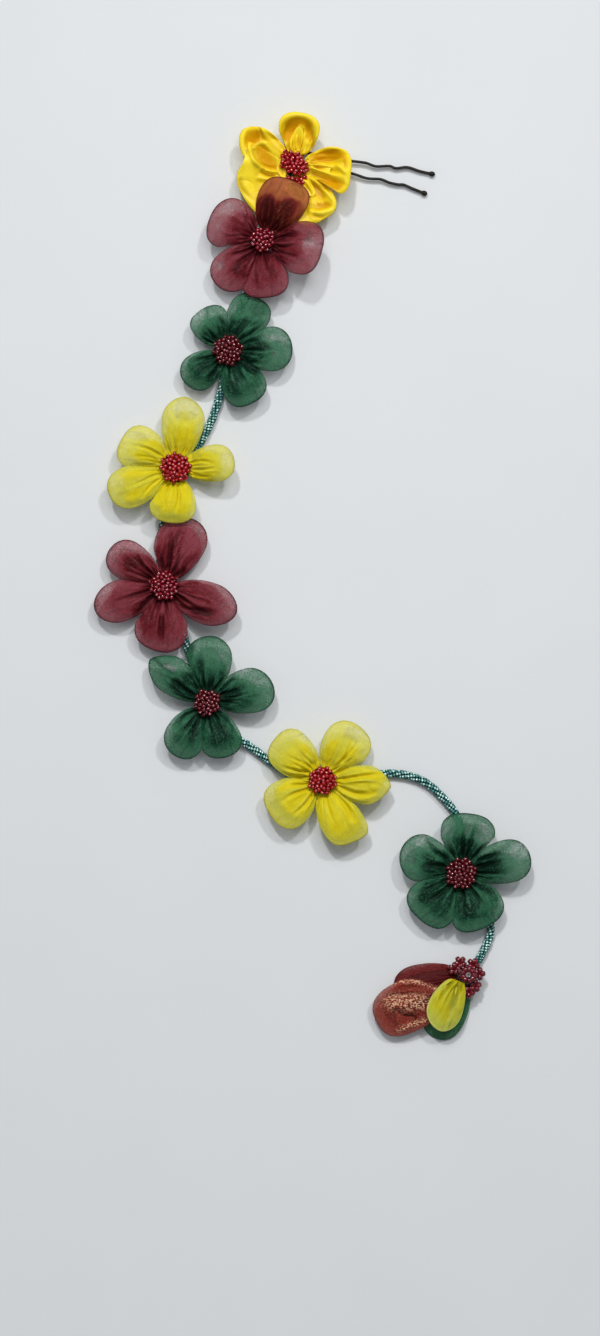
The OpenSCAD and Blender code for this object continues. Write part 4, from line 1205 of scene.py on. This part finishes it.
for number, (name, x0, y0, bead_r, cloth, *_) in enumerate(FLOWERS):
    make_button(BUTTON_SEED + number, name, x0, y0, bead_r, LOOKS[BEADS_ON[cloth]])

CLUSTER_XY = (64.9, -165.9)
CLUSTER_Z = 7
CORE_R = 3.5
LOOP_R = 1.5
LOOP_BEAD_D = 2.8
LOOP_BEAD_LENGTH = 1.9
CROWN_R = 2.3
CROWN_BEADS = 9
GREY_D = 2.5
GREY_LENGTH = 2
CLUSTER_SEED = 77
# Loops of beads round the cluster's middle. The columns are angle, reach and height.
BEAD_LOOPS = ((123, 6.5, 6.6), (158, 6.8, 7), (61, 5.3, 6.4), (2, 5.3, 6.2), (302, 6.4, 6), (273, 8, 6.2))


def make_cluster():
    rng = np.random.default_rng(CLUSTER_SEED)
    places, axes = [], []
    middle = np.array([*CLUSTER_XY, CLUSTER_Z])
    for angle, reach, height in BEAD_LOOPS:
        c, s = cos_sin(angle)
        out, side = np.array([c, s, 0]), np.array([-s, c, 0])
        loop_middle = [*CLUSTER_XY, height] + out * (reach - 0.7)
        for k in range(5):
            c, s = cos_sin(216 + 72 * k)
            places.append(loop_middle + LOOP_R * (out * c + side * s))
            axes.append(-out * s + side * c + [0, 0, 0.2])
        places.append(loop_middle - [0, 0, 0.9])
        axes.append(out + [0, 0, 0.3])
    for k in range(CROWN_BEADS):
        c, s = cos_sin(360 / CROWN_BEADS * k)
        places.append(middle + [CROWN_R * c, CROWN_R * s, 1.9])
        axes.append([-s, c, rng.uniform(-0.3, 0.3)])
    bead = bead_mesh(16, 10, LOOP_BEAD_D / 2, LOOP_BEAD_LENGTH, 0.3)
    beads = place_beads(bead, np.array(places), np.array(axes), rng)
    core = dome(CLUSTER_XY, CORE_R - 0.4, CLUSTER_Z - 2.8, CLUSTER_Z + 2.2)
    looks = [LOOKS["loop_wine_beads"], WINE_CORE]
    beaded_piece("bud_bead_loops", "bud_beads", beads, core, looks)
    grey = bead_mesh(20, 10, GREY_D / 2, GREY_LENGTH, 0.06)
    points, faces, marks = place_beads(grey, middle[None] + [0, 0, 2.9], np.array([[0.15, 0.1, 1]]), rng)
    mesh_piece("bud_grey_bead", points, faces.tolist(), [LOOKS["grey_bead"]], marks)


make_cluster()


# Beaded rope

ROPE_D = 3.6
ROPE_BEAD_D = 1.46
ROPE_BEAD_LENGTH = 1.22
ROPE_BEADS_AROUND = 5.25
ROPE_PITCH = 1.24
CORE_POINTS = 260
ROPE_SEED = 55
# Points that the rope's middle passes through
ROPE_ROUTE = (
    (-9, 171), (-14, 157), (-21, 141), (-26, 126), (-31, 110), (-35.5, 95), (-38, 80), (-43, 64.5),
    (-50.5, 52), (-57.5, 45.5), (-61.5, 34), (-63, 20.5), (-64, 8), (-62, -3.5), (-56.5, -17), (-52.5, -29),
    (-49, -42), (-44, -52.5), (-36, -64), (-25, -71.5), (-11, -81.5), (4, -85), (19, -83.5), (34, -82),
    (46, -85), (55, -92.5), (61, -101), (62.5, -112), (62, -124), (68, -136), (74, -144), (74, -151.5),
    (67, -165),
)


def directions(path):
    return unit(np.gradient(path, axis=0))


def tube(path, radii, sides):
    """A skin round a path with a radius at each point, closed at both ends."""
    way = directions(path)
    side = unit(np.cross([0.0, 0.0, 1.0], way))
    up = np.cross(way, side)
    turn = circle(sides)[:, None]
    rings = path[:, None] + radii[:, None, None] * (side[:, None] * np.cos(turn) + up[:, None] * np.sin(turn))
    index = np.arange(len(path) * sides).reshape(len(path), sides)
    faces = grid_faces(np.hstack([index, index[:, :1]]))
    return rings.reshape(-1, 3), [*faces, tuple(index[0]), tuple(index[-1][::-1])]


def make_rope():
    rng = np.random.default_rng(ROPE_SEED)
    flat = smooth_path(ROPE_ROUTE, 12)
    path = np.column_stack([flat, np.full(len(flat), ROPE_D / 2)])
    _, length = even(path, 10)
    count = int(length / ROPE_PITCH * ROPE_BEADS_AROUND)
    line, _ = even(path, count)
    way = directions(line)
    side = np.cross([0.0, 0.0, 1.0], way)
    up = np.cross(way, side)
    turn = np.arange(count)[:, None] * 2 * math.pi / ROPE_BEADS_AROUND
    out = side * np.cos(turn) + up * np.sin(turn)
    away = ROPE_D / 2 - ROPE_BEAD_D / 2 + 0.04
    places = line + out * away + way * rng.uniform(-0.05, 0.05, (count, 1))
    axes = np.cross(way, out) * 0.75 + way * 0.65
    bead = bead_mesh(8, 5, ROPE_BEAD_D / 2, ROPE_BEAD_LENGTH, 0.25)
    core_line, _ = even(path, CORE_POINTS)
    core = tube(core_line, np.full(CORE_POINTS, ROPE_D / 2 - ROPE_BEAD_D * 0.62), 8)
    beaded_piece("rope_beads", "beaded_rope", place_beads(bead, places, axes, rng), core,
                 [LOOKS["teal_beads"], TEAL_CORE])


make_rope()


# Hair pin

WIRE_D = 1.2
BALL_R = 1.1
BEND_Z = 2.8
BEND_R = 2
BEND_XY = (-11.6, 178.1)
PIN_TURN = -12
LEG_LENGTH = 62.5
PIN_POINTS = 420
PIN_SIDES = 14
# Distance from the bend and distance sideways of the crimped legs
UPPER_LEG = (
    (0, 2), (22, 2.2), (28, 2.6), (34, 3.1), (38.5, 2.6), (44, 3.9), (47, 3.6), (51.5, 5), (57, 4.5),
    (62.5, 4.5),
)
LOWER_LEG = (
    (0, -2), (22, -2.2), (30, -2.5), (36, -3.1), (41.5, -2.3), (45.5, -2.9), (49, -2.9), (51.5, -2.5),
    (55, -3.2), (61, -4.3),
)


def make_pin():
    bend = [(BEND_R * math.cos(a), BEND_R * math.sin(a)) for a in np.radians(np.arange(112.5, 260, 22.5))]
    line, length = even(smooth_path([*UPPER_LEG[::-1], *bend, *LOWER_LEG], 10), PIN_POINTS)
    run = np.linspace(0, length, len(line))
    from_tip = np.minimum(run, length - run)
    ball = np.sqrt(np.clip(BALL_R ** 2 - (from_tip - BALL_R) ** 2, 0.0004, None))
    wire = np.where(from_tip > BALL_R, WIRE_D / 2, 0)
    radii = np.maximum(np.where(from_tip < BALL_R * 1.85, ball, 0), wire)
    tilt = math.asin((BEND_Z - BALL_R) / LEG_LENGTH)
    ahead, across = line[:, 0] + BALL_R * np.exp(-from_tip / 3), line[:, 1]
    x = ahead * math.cos(tilt)
    c, s = cos_sin(PIN_TURN)
    path = np.stack([
        BEND_XY[0] + x * c - across * s, BEND_XY[1] + x * s + across * c, BEND_Z - ahead * math.sin(tilt),
    ], 1)
    skin, faces = tube(path, radii, PIN_SIDES)
    piece = mesh_piece("pin_wire", skin, faces, [lacquered_wire("black_wire")])
    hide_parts("hair_pin")


make_pin()


# Floor

floor_mesh = bpy.data.meshes.new("floor")
corners = [(x * FLOOR_HALF, y * FLOOR_HALF, 0) for x, y in ((-1, -1), (1, -1), (1, 1), (-1, 1))]
floor_mesh.from_pydata(corners, [], [(0, 1, 2, 3)])
floor_mesh.materials.append(pale_floor("pale_floor"))
floor = add_object("floor", floor_mesh)
